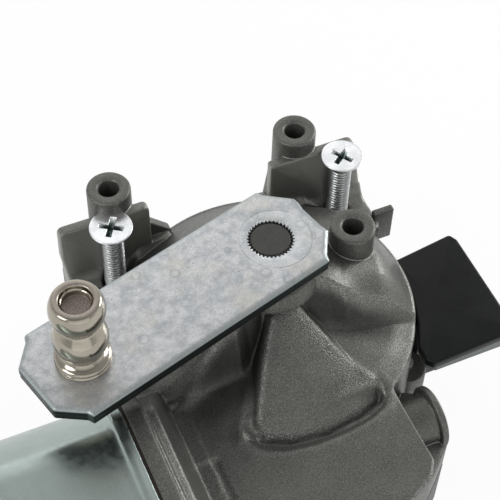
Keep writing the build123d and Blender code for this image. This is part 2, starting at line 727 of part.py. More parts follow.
wheel_gap_angle = 360 / wheel_teeth
tooth_points = []
for i in range(wheel_teeth):
    for radius, half in (
        (wheel_root_r, half_tooth + 1.25 * module * flank), (wheel_tip_r, half_tooth - module * flank)):
        tooth_points.append((i * wheel_gap_angle, radius, -half))
    for radius, half in (
        (wheel_tip_r, half_tooth - module * flank), (wheel_root_r, half_tooth + 1.25 * module * flank)):
        tooth_points.append((i * wheel_gap_angle, radius, half))


def wheel_outline(turn):
    """Outline of the toothed rim, turned about the output shaft by turn degrees."""
    outline = []
    for angle, radius, across in tooth_points:
        a = radians(angle + turn) + across / radius
        outline.append((radius * cos(a), radius * sin(a)))
    return outline


with BuildPart() as worm_wheel:
    with BuildSketch(Plane.XY.offset(wheel_low_z)):
        with BuildLine():
            Polyline(*wheel_outline(-wheel_tilt), close=True)
        make_face()
    with BuildSketch(Plane.XY.offset(wheel_low_z + wheel_width)):
        with BuildLine():
            Polyline(*wheel_outline(wheel_tilt), close=True)
        make_face()
    loft(ruled=True)
    # thin web between hub and rim, with ribs on its upper side
    with BuildSketch(Plane.XY.offset(wheel_low_z)):
        Circle(wheel_rim_r)
    extrude(amount=2.5, mode=Mode.SUBTRACT)
    with BuildSketch(Plane.XY.offset(wheel_low_z + wheel_width)):
        Circle(wheel_rim_r)
        Circle(wheel_hub_r + 2.0, mode=Mode.SUBTRACT)
        with PolarLocations(0, 8):
            Rectangle(wheel_rim_r + 1, 1.6, align=(Align.MIN, Align.CENTER), mode=Mode.SUBTRACT)
    extrude(amount=-(wheel_width - 2.5 - wheel_web_t), mode=Mode.SUBTRACT)
    with BuildSketch(Plane.XY.offset(wheel_low_z)):
        Circle(wheel_hub_r)
    extrude(amount=wheel_width, mode=Mode.SUBTRACT)
worm_wheel.part.label = "worm_wheel"

wheel_hub = shaft_ring(wheel_low_z, wheel_low_z + wheel_width, out_shaft_r, wheel_hub_r)
wheel_hub.label = "wheel_hub"

with BuildPart() as contact_disc:
    with BuildSketch(Plane.XY.offset(wheel_low_z + 2.0)):
        Circle(wheel_rim_r - 1.5)
        Circle(wheel_hub_r + 0.8, mode=Mode.SUBTRACT)
        with BuildLine():
            Polyline((0, 0), (40, 12), (40, 24), close=True)
        make_face(mode=Mode.SUBTRACT)
    extrude(amount=0.5)
contact_disc.part.label = "contact_disc"

washer_low = shaft_ring(inner_hub_z - 1.4, inner_hub_z - 0.1, out_shaft_r, inner_hub_r - 0.5)
washer_top = shaft_ring(hub_top_z + 0.05, 2.2, out_shaft_r, 9.0)
thrust_washers = Part() + [washer_low, washer_top]
thrust_washers.label = "thrust_washers"

with BuildPart() as retaining_ring:
    with BuildSketch(Plane.XY.offset(2.25)):
        Circle(8.0)
        Circle(4.4, mode=Mode.SUBTRACT)
        with Locations((6.0, 0)):
            Rectangle(6.0, 4.0, mode=Mode.SUBTRACT)
    extrude(amount=1.0)
retaining_ring.part.label = "retaining_ring"

shaft_bushes = Part() + [
    shaft_ring(-12.6, -1.6, out_shaft_r + run_fit, hub_bore_r),
    shaft_ring(inner_hub_z, inner_hub_z + 11.0, out_shaft_r + run_fit, hub_bore_r),
]
shaft_bushes.label = "shaft_bushes"
shaft_seal = shaft_ring(hub_top_z - 3.0, hub_top_z - 0.2, out_shaft_r + 0.06, 8.0)
shaft_seal.label = "shaft_seal"

# ---- crank arm and ball stud, drawn along +X and then turned to their rest angle ----------
with BuildPart() as crank_flat:
    with BuildSketch(Plane.XY.offset(crank_under_z)):
        with BuildLine():
            Polyline(
                (-13.2, -6.5), (-7.6, -12.4), (-7.2, -crank_half_w), (62.5, -crank_half_w), (63.0, -12.0),
                (68.4, -7.0), (68.4, 7.0), (63.0, 12.0), (62.5, crank_half_w), (-7.2, crank_half_w),
                (-7.6, 12.4), (-13.2, 6.5), close=True)
        make_face()
    extrude(amount=crank_t)
    top_edges = crank_flat.edges().group_by(Axis.Z)[-1]
    chamfer(top_edges, length=0.3)
    with Locations((0, 0, crank_top_z)):
        Hole(serration_r + 0.02)
    with Locations((crank_reach, 0, crank_top_z)):
        Hole(stud_shank_r)
turned = Rot(0, 0, crank_angle)
crank_arm = turned * crank_flat.part
crank_arm.label = "crank_arm"

with BuildPart() as stud_upright:
    with BuildSketch(Plane.XZ):
        with BuildLine():
            Polyline(
                (0, 2.4), (5.4, 2.4), (6.2, 3.1), (6.2, crank_under_z), (stud_shank_r, crank_under_z),
                (stud_shank_r, crank_top_z), (stud_collar_r, crank_top_z), (stud_collar_r, crank_top_z + 0.9),
                (stud_collar_r - 0.5, crank_top_z + 1.15), (stud_collar_r, crank_top_z + 1.4),
                (stud_collar_r, stud_collar_z), (stud_collar_r - 0.5, stud_collar_z + 0.4),
                (4.4, stud_collar_z + 1.3), (4.4, stud_collar_z + 2.0), (0, stud_collar_z + 2.0), close=True)
        make_face()
    revolve(axis=Axis.Z)
    with Locations((0, 0, ball_low_z), (0, 0, ball_high_z)):
        Sphere(ball_r)
    with BuildSketch(Plane.XY.offset(ball_low_z)):
        Circle(4.4)
    extrude(amount=ball_high_z - ball_low_z)
    with BuildSketch(Plane.XY.offset(stud_top_z)):
        Circle(ball_r)
    extrude(amount=ball_r, mode=Mode.SUBTRACT)
    with BuildSketch(Plane.XY.offset(stud_top_z)):
        Circle(3.8)
    extrude(amount=-1.0, mode=Mode.SUBTRACT)
    with BuildSketch(Plane.XY.offset(stud_top_z)):
        Circle(3.2)
    extrude(amount=-4.0, mode=Mode.SUBTRACT)
ball_stud = turned * Location((crank_reach, 0, 0)) * stud_upright.part
ball_stud.label = "ball_stud"

# ---- mounting screws ----------------------------------------------------------------------
screw_tip_z = screw_head_z - screw_length
with BuildPart() as mounting_screws:
    with BuildSketch(Plane.XZ):
        with BuildLine():
            Polyline(
                (0, screw_head_z), (screw_head_r, screw_head_z),
                (screw_head_r, screw_head_z - screw_head_edge),
                (screw_shank_r, screw_head_z - screw_head_edge - screw_head_r + screw_shank_r),
                (screw_shank_r, screw_tip_z + 1.0), (screw_shank_r - 1.0, screw_tip_z), (0, screw_tip_z),
                close=True)
        make_face()
    revolve(axis=Axis.Z)
    with BuildSketch(Plane.XY.offset(screw_head_z)):
        Rectangle(6.0, 1.2)
        Rectangle(1.2, 6.0)
        Circle(1.4)
    extrude(amount=-2.6, taper=12, mode=Mode.SUBTRACT)
screw_pair = Part() + [Location((x, y, 0)) * mounting_screws.part for x, y in screw_xy]
screw_pair.label = "mounting_screws"

# ---- rear cover, gasket and cover screws --------------------------------------------------
with BuildPart() as rear_cover:
    add(seat_plate(rest_z, cover_top_z - rest_z, 0, cover_lug_r))
    with BuildSketch(Plane.XY.offset(board_z - 2.0)):
        with Locations((neck_x0, plug_y0 - 0.5)):
            Rectangle(plug_x0 + 6.7 - neck_x0, plug_y1 - plug_y0 + 1.0, align=(Align.MIN, Align.MIN))
    extrude(amount=cover_top_z - board_z + 2.0)
    inner_lug_r = cover_lug_r - 1.5
    add(seat_plate(rest_z + cover_wall_t, cover_top_z - rest_z, cover_wall_t, inner_lug_r, Mode.SUBTRACT),
        mode=Mode.SUBTRACT)
    with BuildSketch(Plane.XY.offset(board_z)):
        with Locations((neck_x0, plug_y0 + 1.0)):
            Rectangle(plug_x0 + 5.1 - neck_x0, plug_y1 - plug_y0 - 2.0, align=(Align.MIN, Align.MIN))
    extrude(amount=cover_top_z - board_z, mode=Mode.SUBTRACT)
    # posts under the circuit board
    with BuildSketch(Plane.XY.offset(rest_z)):
        with Locations((-18, -8), (-18, motor_y - 11.5), (12, motor_y - 11.5), (20, 14)):
            Circle(3.0)
    extrude(amount=board_z - rest_z)
    for x, y in cover_screw_xy:
        add(column(x, y, rest_z, cover_top_z, cover_screw_r), mode=Mode.SUBTRACT)
        add(column(x, y, rest_z, rest_z + 3.0, cover_screw_r + 2.0), mode=Mode.SUBTRACT)
rear_cover.part.label = "rear_cover"

with BuildPart() as cover_gasket:
    add(seat_plate(cover_top_z, gasket_t, 0.3, cover_lug_r - 0.4))
    add(seat_plate(cover_top_z, gasket_t, cover_wall_t + 0.3, inner_lug_r, Mode.SUBTRACT),
        mode=Mode.SUBTRACT)
    for x, y in cover_screw_xy:
        add(column(x, y, cover_top_z, joint_z, cover_screw_r), mode=Mode.SUBTRACT)
cover_gasket.part.label = "cover_gasket"

with BuildPart() as cover_screw:
    with BuildSketch(Plane.XY.offset(rest_z + 3.0)):
        Circle(cover_screw_r)
    extrude(amount=joint_z + 9.0 - rest_z - 3.0)
    with BuildSketch(Plane.XY.offset(rest_z + 3.0)):
        RegularPolygon(radius=3.5, side_count=6)
    extrude(amount=-2.6)
cover_screws = Part() + [Location((x, y, 0)) * cover_screw.part for x, y in cover_screw_xy]
cover_screws.label = "cover_screws"

# ---- circuit board, contact fingers, terminals and connector -------------------------------
with BuildPart() as circuit_board:
    with BuildSketch(Plane.XY.offset(board_z)):
        with BuildLine():
            Polyline(
                (-22, motor_y - 17.5), (1.5, motor_y - 17.5), (4.5, motor_y - 14.1), (14, motor_y - 13.0),
                (15.5, motor_y + 8.5), (neck_x0, plug_y0 + 1.4), (plug_x0 + 4.1, plug_y0 + 1.4),
                (plug_x0 + 4.1, plug_y1 - 1.4), (neck_x0, plug_y1 - 1.4), (24, 18), (-22, 18), close=True)
        make_face()
    extrude(amount=board_t)
circuit_board.part.label = "circuit_board"

board_top_z = board_z + board_t
finger_top_z = wheel_low_z + 2.0 - run_fit
with BuildPart() as contact_fingers:
    for y in (-5.0, 0.0, 5.0):
        with BuildSketch(Plane.XZ.offset(-y)):
            with BuildLine():
                Polyline((24.0, board_top_z), (24.0, board_top_z + 0.5), (21.2, board_top_z + 0.5),
                         (18.2, finger_top_z - 0.6), (18.2, finger_top_z), (15.4, finger_top_z),
                         (15.4, finger_top_z - 0.5), (17.6, finger_top_z - 0.5), (20.8, board_top_z),
                         close=True)
            make_face()
        extrude(amount=1.2, both=True)
contact_fingers.part.label = "contact_fingers"

pin_x = plug_x0 + 13.4
leg_x = plug_x0 + 2.3
pin_bar_z = -30.2
with BuildPart() as connector_terminals:
    for y in terminal_ys:
        with BuildSketch(Plane.XZ.offset(-y)):
            with BuildLine():
                Polyline(
                    (pin_x, plug_low_z + 3.0), (pin_x + terminal_t, plug_low_z + 3.0),
                    (pin_x + terminal_t, pin_bar_z), (leg_x, pin_bar_z), (leg_x, board_top_z),
                    (leg_x + terminal_t, board_top_z), (leg_x + terminal_t, pin_bar_z - terminal_t),
                    (pin_x, pin_bar_z - terminal_t), close=True)
            make_face()
        extrude(amount=terminal_w / 2, both=True)
connector_terminals.part.label = "connector_terminals"

with BuildPart() as connector_housing:
    # cap plate with a set-back lower lip
    with BuildSketch(Plane.XY.offset(plug_side_z + 1.6)):
        with BuildLine():
            Polyline(
                (plug_x0, 3.2), (plug_x1 - 2.0, 5.9), (plug_x1 + 0.2, 4.6), (plug_x1 + 1.0, 1.5),
                (plug_x1 + 1.0, -27.0), (plug_x1 - 0.8, -28.5), (plug_x0 - 3.8, -28.5),
                (plug_x0 - 6.1, -26.6),
                (plug_x0 - 5.7, -23.4), (plug_x0 - 2.5, -17.4), (plug_x0 + 0.3, -9.0), close=True)
        make_face()
        Circle(plug_x0, mode=Mode.SUBTRACT)
    extrude(amount=plug_top_z - plug_side_z - 1.6)
    fillet(connector_housing.edges().group_by(Axis.Z)[-1], radius=0.8)
    with BuildSketch(Plane.XY.offset(plug_side_z)):
        with BuildLine():
            Polyline(
                (plug_x0 + 0.9, 2.4), (plug_x1 - 1.0, 4.9), (plug_x1, 1.0), (plug_x1, -26.6),
                (plug_x0 - 2.9, -27.4), (plug_x0 + 1.1, -16.0), close=True)
        make_face()
        Circle(plug_x0 + 0.5, mode=Mode.SUBTRACT)
    extrude(amount=1.6)
    # hollow under the cap, then the downward shroud and the neck that stands on the cover
    with BuildSketch(Plane.XY.offset(plug_side_z)):
        with Locations((plug_x0 + 3.7, -26.0)):
            Rectangle(13.0, 11.0, align=(Align.MIN, Align.MIN))
    extrude(amount=4.2, mode=Mode.SUBTRACT)
    with BuildSketch(Plane.XY.offset(plug_low_z)):
        with Locations((plug_x0 + 0.2, plug_y0)):
            Rectangle(plug_x1 - plug_x0 - 0.2, plug_y1 - plug_y0, align=(Align.MIN, Align.MIN))
        with Locations((plug_x0 + 7.5, plug_y0 + 1.4)):
            Rectangle(9.8, plug_y1 - plug_y0 - 2.8, align=(Align.MIN, Align.MIN), mode=Mode.SUBTRACT)
    extrude(amount=plug_side_z - plug_low_z + 0.5)
    with BuildSketch(Plane.XY.offset(-36.0)):
        with Locations((plug_x0 + 6.7, plug_y0 + 1.0)):
            Rectangle(11.4, plug_y1 - plug_y0 - 2.0, align=(Align.MIN, Align.MIN))
    extrude(amount=4.0)
    with BuildSketch(Plane.XY.offset(cover_top_z)):
        with Locations((plug_x0 + 0.2, plug_y0)):
            Rectangle(5.7, plug_y1 - plug_y0, align=(Align.MIN, Align.MIN))
    extrude(amount=plug_low_z - cover_top_z)
    with BuildSketch(Plane.XY.offset(cover_top_z)):
        with Locations((leg_x - 0.6, plug_y0 + 1.4)):
            Rectangle(2.6, plug_y1 - plug_y0 - 2.8, align=(Align.MIN, Align.MIN))
    extrude(amount=pin_bar_z - cover_top_z, mode=Mode.SUBTRACT)
    add(connector_terminals.part, mode=Mode.SUBTRACT)
connector_housing.part.label = "connector_housing"

# ---- export: one file for each named piece -------------------------------------------------
pieces = [
    gear_housing.part, shaft_bushes, shaft_seal, rear_cover.part, cover_gasket.part, cover_screws,
    motor_can.part, flange_gasket.part, can_screws.part, magnets.part, magnet_clips.part, rear_bearing,
    front_bearing, end_bearing, brush_card.part, brush_holders.part, carbon_brushes.part, brush_springs.part,
    choke_coils.part, thrust_screw.part, circuit_board.part, contact_fingers.part, connector_housing.part,
    connector_terminals.part, screw_pair, output_shaft.part, worm_wheel.part, wheel_hub, contact_disc.part,
    thrust_washers, retaining_ring.part, crank_arm, ball_stud, armature_shaft.part, armature_core.part,
    windings.part, commutator.part,
]
for piece in pieces:
    export_step(piece, f"parts/{piece.label}.step")
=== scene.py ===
import json
import math

import bpy
import numpy as np
from mathutils import Matrix, Vector


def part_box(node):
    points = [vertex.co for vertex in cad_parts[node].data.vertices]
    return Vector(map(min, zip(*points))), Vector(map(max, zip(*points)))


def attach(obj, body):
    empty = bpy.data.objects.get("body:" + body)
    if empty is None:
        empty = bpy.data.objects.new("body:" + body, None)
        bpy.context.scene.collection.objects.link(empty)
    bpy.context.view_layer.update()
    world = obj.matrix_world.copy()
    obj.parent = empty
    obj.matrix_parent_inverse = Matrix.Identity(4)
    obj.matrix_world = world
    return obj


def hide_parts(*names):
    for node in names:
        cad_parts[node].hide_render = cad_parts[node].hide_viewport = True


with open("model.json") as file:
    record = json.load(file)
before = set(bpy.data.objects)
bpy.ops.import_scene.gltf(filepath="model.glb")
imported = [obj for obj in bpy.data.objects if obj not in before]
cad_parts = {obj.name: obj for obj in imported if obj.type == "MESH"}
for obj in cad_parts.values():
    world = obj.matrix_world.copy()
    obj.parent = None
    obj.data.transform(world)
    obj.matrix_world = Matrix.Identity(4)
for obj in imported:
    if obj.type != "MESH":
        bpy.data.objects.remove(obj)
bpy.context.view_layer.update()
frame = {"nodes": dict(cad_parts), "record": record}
nodes = frame["nodes"]
mm = 0.001
print("frame loaded:", len(nodes), "nodes")


# helpers for node trees; mat is a material or the world
def newMaterial(name):
    mat = bpy.data.materials.new(name)
    mat.use_nodes = True
    mat.node_tree.nodes.clear()
    return mat


# Links a socket to another one, or gives it a number, a vector or a colour.
def feed(mat, socket, value):
    if isinstance(value, bpy.types.NodeSocket):
        mat.node_tree.links.new(value, socket)
    else:
        socket.default_value = (*value, 1) if socket.type == "RGBA" else value


def addNode(mat, kind, **inputs):
    node = mat.node_tree.nodes.new(kind)
    for key, value in inputs.items():
        feed(mat, node.inputs[key.replace("_", " ")], value)
    return node


# Noise on the object's own coordinates; scale is in waves per metre.
def noise(mat, coords, scale, detail=3, rough=0.6):
    node = addNode(mat, "ShaderNodeTexNoise", Vector=coords, Scale=scale, Detail=detail, Roughness=rough)
    return node.outputs["Fac"]


def mapRange(mat, factor, low, high, outLow=0, outHigh=1, shape="LINEAR"):
    node = addNode(mat, "ShaderNodeMapRange", Value=factor, From_Min=low, From_Max=high, To_Min=outLow, To_Max=outHigh)
    node.interpolation_type = shape
    return node.outputs["Result"]


def mixColour(mat, factor, first, second):
    node = addNode(mat, "ShaderNodeMix")
    node.data_type = "RGBA"
    for index, value in ((0, factor), (6, first), (7, second)):
        feed(mat, node.inputs[index], value)
    return node.outputs[2]


def calculate(mat, operation, first, second, kind="ShaderNodeMath"):
    node = addNode(mat, kind)
    node.operation = operation
    feed(mat, node.inputs[0], first)
    feed(mat, node.inputs[1], second)
    return node.outputs["Value"]


def times(mat, first, second):
    return calculate(mat, "MULTIPLY", first, second)


def vectorMath(mat, operation, first, second):
    return calculate(mat, operation, first, second, "ShaderNodeVectorMath")


def attribute(mat, name):
    node = addNode(mat, "ShaderNodeAttribute")
    node.attribute_name = name
    return node.outputs["Fac"]


def objectCoords(mat):
    return addNode(mat, "ShaderNodeTexCoord").outputs["Object"]


def trueNormal(mat):
    return addNode(mat, "ShaderNodeNewGeometry").outputs["Normal"]


# The rounded normal, and how far it turns from the true one: near 0 off the edges.
def roundedEdge(mat, radius):
    bevel = addNode(mat, "ShaderNodeBevel", Radius=radius)
    bevel.samples = 4
    rounded = bevel.outputs["Normal"]
    return rounded, calculate(mat, "SUBTRACT", 1, vectorMath(mat, "DOT_PRODUCT", rounded, trueNormal(mat)))


def finishMaterial(mat, colour, roughness, metallic, height, bumpDistance, bumpStrength, normal, specular=0.5):
    bump = addNode(mat, "ShaderNodeBump", Strength=bumpStrength, Distance=bumpDistance, Height=height, Normal=normal)
    shader = addNode(mat, "ShaderNodeBsdfPrincipled", Base_Color=colour, Roughness=roughness, Metallic=metallic,
                     Specular_IOR_Level=specular, Normal=bump.outputs["Normal"])
    addNode(mat, "ShaderNodeOutputMaterial", Surface=shader.outputs["BSDF"])
    return mat


def scaled(colour, factor, lift=0):
    return [c * factor + lift for c in colour]


# A colour with others laid over it, each by its own share.
def layered(mat, colour, *layers):
    for share, over in layers:
        colour = mixColour(mat, share, colour, over)
    return colour


# A colour that wavers by a share either way with a noise.
def wavering(mat, cloud, colour, share, low=0.35, high=0.65):
    return mixColour(mat, mapRange(mat, cloud, low, high), scaled(colour, 1 - share), scaled(colour, 1 + share))


# finishes
# its near-black colour is painted shade, and its factor for upright sides paints light
castFinish = {"colour": (0.126, 0.126, 0.117), "bright": (0.36, 0.36, 0.34), "paintedShade": (0.022, 0.022, 0.02), "paintedLightGain": 3,
              "roughness": 0.42, "metallic": 0.75, "grainScale": 2300, "grainDepth": 0.00012, "coarseScale": 2600,
              "coarseShare": 3.4, "edgeRadius": 0.0005}


# Blasted die casting: fine grain with bright tips. Paint makes it coarser ("coarse"), puts painted shade in the
# hollows, painted light on upright sides and bright marks, part wear and part painted highlight, as on sharp edges.
def castMaterial(name, values):
    mat = newMaterial(name)
    coords, tone = objectCoords(mat), values["colour"]
    grain = noise(mat, coords, values["grainScale"], 2)
    tips = noise(mat, coords, values["grainScale"] * 1.7, 1, 0.5)
    coarse = noise(mat, coords, values["coarseScale"], 1, 0.4)
    clouds = noise(mat, coords, 90)
    specks = noise(mat, coords, 1100, 2, 0.5)
    normal, turned = roundedEdge(mat, values["edgeRadius"])
    onEdge = mapRange(mat, times(mat, turned, mapRange(mat, specks, 0.3, 0.7, 0.4, 1.3)), 0.04, 0.25, 0, 0.8)
    painted = times(mat, attribute(mat, "wearAndSheen"), mapRange(mat, tips, 0.42, 0.62, 0, 0.9))
    facing = addNode(mat, "ShaderNodeSeparateXYZ", Vector=trueNormal(mat))
    upright = mapRange(mat, facing.outputs["Z"], 0.4, 0.8, 0.7, 0.25)
    colour = layered(mat, wavering(mat, clouds, tone, 0.15, 0.3, 0.7),
                     (mapRange(mat, tips, 0.5, 0.72, 0, 0.55), scaled(tone, 2.6)),
                     (mapRange(mat, grain, 0.5, 0.3, 0, 0.6), scaled(tone, 0.45)),
                     # painted light: the upright sides of the ears and walls lifted
                     (times(mat, attribute(mat, "paintedLight"), upright), scaled(tone, values["paintedLightGain"])),
                     # edges and painted marks brightened, part wear and part painted highlight
                     (calculate(mat, "MAXIMUM", onEdge, painted), values["bright"]),
                     # painted shade in the hollows below the ridges
                     (times(mat, attribute(mat, "paintedShade"), 0.8), values["paintedShade"]))
    roughness = mapRange(mat, specks, 0.3, 0.7, values["roughness"] - 0.05, values["roughness"] + 0.08)
    padGrain = times(mat, times(mat, coarse, attribute(mat, "coarse")), values["coarseShare"])
    height = calculate(mat, "ADD", grain, padGrain)
    return finishMaterial(mat, colour, roughness, values["metallic"], height, values["grainDepth"], 0.6, normal)


crankFinish = {"light": (0.70, 0.705, 0.71), "dark": (0.47, 0.49, 0.51), "yellow": (0.66, 0.64, 0.56),
               "pit": (0.16, 0.15, 0.14), "washer": (0.66, 0.70, 0.71), "ring": (0.25, 0.25, 0.24),
               "edge": (0.022, 0.03, 0.028), "border": (0.25, 0.30, 0.295), "wornAndSheen": (0.7, 0.71, 0.71),
               "roughness": 0.36, "ringAt": (0.0011, -0.0005, 0.00792), "ringRadius": 0.0089, "topZ": 0.00745,
               "sideZ": 0.0071, "scratchTurn": -40}


# Zinc plate: fine speckle, soft clouds, small ring stains, pits, scratches, and a washer's faint round mark.
def crankMaterial(name, values):
    mat = newMaterial(name)
    coords, dark = objectCoords(mat), values["dark"]
    speckle = noise(mat, coords, 3400, 2, 0.7)
    mottle = noise(mat, coords, 420, 5, 0.72)
    patches = noise(mat, coords, 110)
    stains = addNode(mat, "ShaderNodeTexVoronoi", Scale=210, Vector=coords).outputs
    offStain = calculate(mat, "ABSOLUTE", calculate(mat, "SUBTRACT", stains["Distance"], 0.26), 0)
    chosen = addNode(mat, "ShaderNodeSeparateColor", Color=stains["Color"]).outputs["Red"]
    ringStain = times(mat, mapRange(mat, calculate(mat, "SUBTRACT", 1, times(mat, offStain, 11)), 0, 1),
                      mapRange(mat, chosen, 0.62, 0.68))
    pits = noise(mat, coords, 2400, 2)
    rarePits = noise(mat, coords, 1500, 1, 0.5)
    stretch = addNode(mat, "ShaderNodeMapping", Vector=coords, Scale=(60, 2600, 600),
                      Rotation=(0, 0, math.radians(values["scratchTurn"])))
    scratches = noise(mat, stretch.outputs["Vector"], 1, 2, 0.5)
    away = vectorMath(mat, "DISTANCE", coords, values["ringAt"])
    offRing = calculate(mat, "ABSOLUTE", calculate(mat, "SUBTRACT", away, values["ringRadius"]), 0)
    ring = times(mat, mapRange(mat, offRing, 0.00004, 0.00022, 1, 0), mapRange(mat, patches, 0.35, 0.6, 0.2, 1))
    inRing = mapRange(mat, away, values["ringRadius"] - 0.0002, values["ringRadius"], 1, 0)
    normal, wearAndSheen = roundedEdge(mat, 0.0004)
    height = addNode(mat, "ShaderNodeSeparateXYZ", Vector=coords).outputs["Z"]
    pitLevel = calculate(mat, "ADD", rarePits, mapRange(mat, patches, 0.4, 0.6, 0, 0.12))
    colour = layered(mat, dark, (mapRange(mat, mottle, 0.38, 0.62), values["light"]),
                     (mapRange(mat, patches, 0.5, 0.68, 0, 0.5), values["yellow"]),
                     (mapRange(mat, speckle, 0.62, 0.4, 0, 0.5), scaled(dark, 0.72)),
                     (times(mat, ringStain, 0.4), scaled(dark, 0.55)),
                     (mapRange(mat, pitLevel, 0.29, 0.25, 0, 0.7), values["pit"]),
                     (times(mat, inRing, 0.25), values["washer"]),
                     (times(mat, ring, 0.55), values["ring"]),
                     (times(mat, attribute(mat, "border"), 0.75), values["border"]),
                     (mapRange(mat, height, values["topZ"], values["sideZ"]), values["edge"]),
                     # edges painted bright, part wear and part painted highlight
                     (mapRange(mat, wearAndSheen, 0.08, 0.3, 0, 0.7), values["wornAndSheen"]))
    roughness = mapRange(mat, mottle, 0.3, 0.7, values["roughness"] + 0.1, values["roughness"] - 0.06)
    bump = calculate(mat, "ADD", times(mat, pits, 0.6), times(mat, scratches, 0.6))
    bump = calculate(mat, "SUBTRACT", bump, times(mat, ring, 1.2))
    return finishMaterial(mat, colour, roughness, 0.9, bump, 0.00004, 0.6, normal)


# A new material with a cloudy and a fine noise.
def cloudy(name, cloudScale, fineScale):
    mat = newMaterial(name)
    coords = objectCoords(mat)
    return mat, noise(mat, coords, cloudScale), noise(mat, coords, fineScale, 2)


# Plated or turned metal: cloudy roughness and colour, a little bump, edges painted brighter, part wear and part painted
# highlight.
def metal(name, colour, roughness, metallic=1, grainScale=900, spread=0.1, depth=1e-5):
    mat, cloud, fine = cloudy(name, grainScale * 0.15, grainScale)
    normal, wearAndSheen = roundedEdge(mat, 0.0003)
    tint = layered(mat, wavering(mat, cloud, colour, spread),
                   (mapRange(mat, wearAndSheen, 0.04, 0.25, 0, 0.8), scaled(colour, 1.35)))
    rough = mapRange(mat, fine, 0.3, 0.7, roughness * 0.85, roughness * 1.2)
    return finishMaterial(mat, tint, rough, metallic, fine, depth, 0.6, normal)


# Moulded plastic or rubber: fine grain, faint cloudiness, edges painted slightly paler, part wear and part painted
# highlight.
def plastic(name, colour, roughness, specular=0.5):
    mat, cloud, fine = cloudy(name, 120, 1800)
    normal, wearAndSheen = roundedEdge(mat, 0.0004)
    tint = layered(mat, scaled(colour, 0.8), (mapRange(mat, cloud, 0.3, 0.7), scaled(colour, 1.2, 0.002)),
                   (mapRange(mat, wearAndSheen, 0.05, 0.3, 0, 0.6), scaled(colour, 2, 0.01)))
    rough = mapRange(mat, fine, 0.3, 0.7, roughness - 0.06, roughness + 0.08)
    return finishMaterial(mat, tint, rough, 0, fine, 0.00002, 0.7, normal, specular)


studFinish = {"colour": (0.37, 0.34, 0.285), "dull": (0.30, 0.255, 0.235), "roughness": 0.12, "dullRoughness": 0.45}


# Polished nickel plate, with a satin grey-brown where "dull" is painted in.
def studMaterial(name, values):
    mat, cloud, fine = cloudy(name, 160, 2600)
    dull = attribute(mat, "dull")
    satin = wavering(mat, fine, values["dull"], 0.25)
    colour = layered(mat, wavering(mat, cloud, values["colour"], 0.1), (dull, satin))
    shine = mapRange(mat, cloud, 0.3, 0.7, values["roughness"] - 0.02, values["roughness"] + 0.05)
    roughness = calculate(mat, "ADD", shine, times(mat, dull, values["dullRoughness"]))
    return finishMaterial(mat, colour, roughness, 1, fine, 0.000008, 0.5, roundedEdge(mat, 0.0002)[0])


screwFinish = {"colour": (0.86, 0.875, 0.89), "shade": (0.17, 0.215, 0.2), "thread": (0.1, 0.11, 0.1), "roughness": 0.3}


# Bright zinc plate with painted shade: darker where "thread" is painted in, most in its grooves, and dark where
# "recess" is.
def screwMaterial(name, values):
    mat, cloud, fine = cloudy(name, 300, 2600)
    tone = values["colour"]
    colour = layered(mat, scaled(tone, 0.9), (mapRange(mat, cloud, 0.35, 0.65), scaled(tone, 1.08)),
                     (attribute(mat, "thread"), values["thread"]), (attribute(mat, "recess"), values["shade"]))
    roughness = mapRange(mat, fine, 0.3, 0.7, values["roughness"] * 0.85, values["roughness"] * 1.2)
    return finishMaterial(mat, colour, roughness, 1, fine, 0.00001, 0.6, roundedEdge(mat, 0.0002)[0])


finishes = {
    "die_cast": castMaterial("blastedCasting", castFinish),
    "crank_zinc": crankMaterial("mottledZinc", crankFinish),
    "stud_nickel": studMaterial("nickelPlate", studFinish),
    "screw_zinc": screwMaterial("brightZinc", screwFinish),
    "screw_steel": metal("zincScrew", (0.6, 0.61, 0.6), 0.35),
    "can_steel": metal("drawnCan", (0.38, 0.44, 0.42), 0.3, spread=0.05, grainScale=500),
    "shaft_steel": metal("shaftSteel", (0.06, 0.06, 0.055), 0.5, metallic=0.5, grainScale=2500, depth=3e-5),
    "spring_steel": metal("springSteel", (0.5, 0.5, 0.52), 0.35),
    "bearing_steel": metal("bearingSteel", (0.6, 0.6, 0.62), 0.25),
    "sintered": metal("sinteredBronze", (0.42, 0.32, 0.2), 0.55, grainScale=3000, depth=4e-5),
    "brass": metal("stampedBrass", (0.72, 0.55, 0.25), 0.35),
    "copper": metal("enamelledCopper", (0.55, 0.24, 0.12), 0.35, spread=0.15),
    "copper_bright": metal("turnedCopper", (0.72, 0.38, 0.22), 0.28),
    "spring_bronze": metal("springBronze", (0.68, 0.5, 0.28), 0.32),
    "terminal_tin": metal("tinnedTerminal", (0.7, 0.7, 0.66), 0.3),
    "ferrite": metal("ferriteMagnet", (0.05, 0.05, 0.055), 0.6, metallic=0.3, grainScale=2500),
    "core_steel": metal("laminatedCore", (0.22, 0.22, 0.23), 0.45, grainScale=2000),
    "carbon": plastic("brushCarbon", (0.02, 0.02, 0.02), 0.55),
    "cover_plastic": plastic("coverPlastic", (0.016, 0.017, 0.016), 0.45),
    # painted reflection: the moulding below the cap is far lighter than the same plastic in the cap
    "connector_plastic": plastic("connectorPlasticPaintedSheen", (0.13, 0.15, 0.145), 0.4, specular=0.4),
    "cap_plastic": plastic("capPlastic", (0.0045, 0.006, 0.005), 0.34, specular=0.2),
    "gasket_rubber": plastic("gasketRubber", (0.03, 0.02, 0.016), 0.7),
    "seal_rubber": plastic("sealRubber", (0.012, 0.012, 0.012), 0.6),
    "card_plastic": plastic("cardPlastic", (0.06, 0.045, 0.03), 0.5),
    "board_laminate": plastic("boardLaminate", (0.02, 0.11, 0.05), 0.35),
    "wheel_plastic": plastic("wheelAcetal", (0.78, 0.75, 0.66), 0.4),
}
for part in frame["record"]["subparts"]:
    obj = nodes[part["node"]]
    for materialSlot in obj.material_slots:
        materialSlot.material = finishes[part["material_slot"]]
print("finishes made:", len(finishes))


def placed(name, data):
    obj = bpy.data.objects.new(name, data)
    bpy.context.scene.collection.objects.link(obj)
    return obj


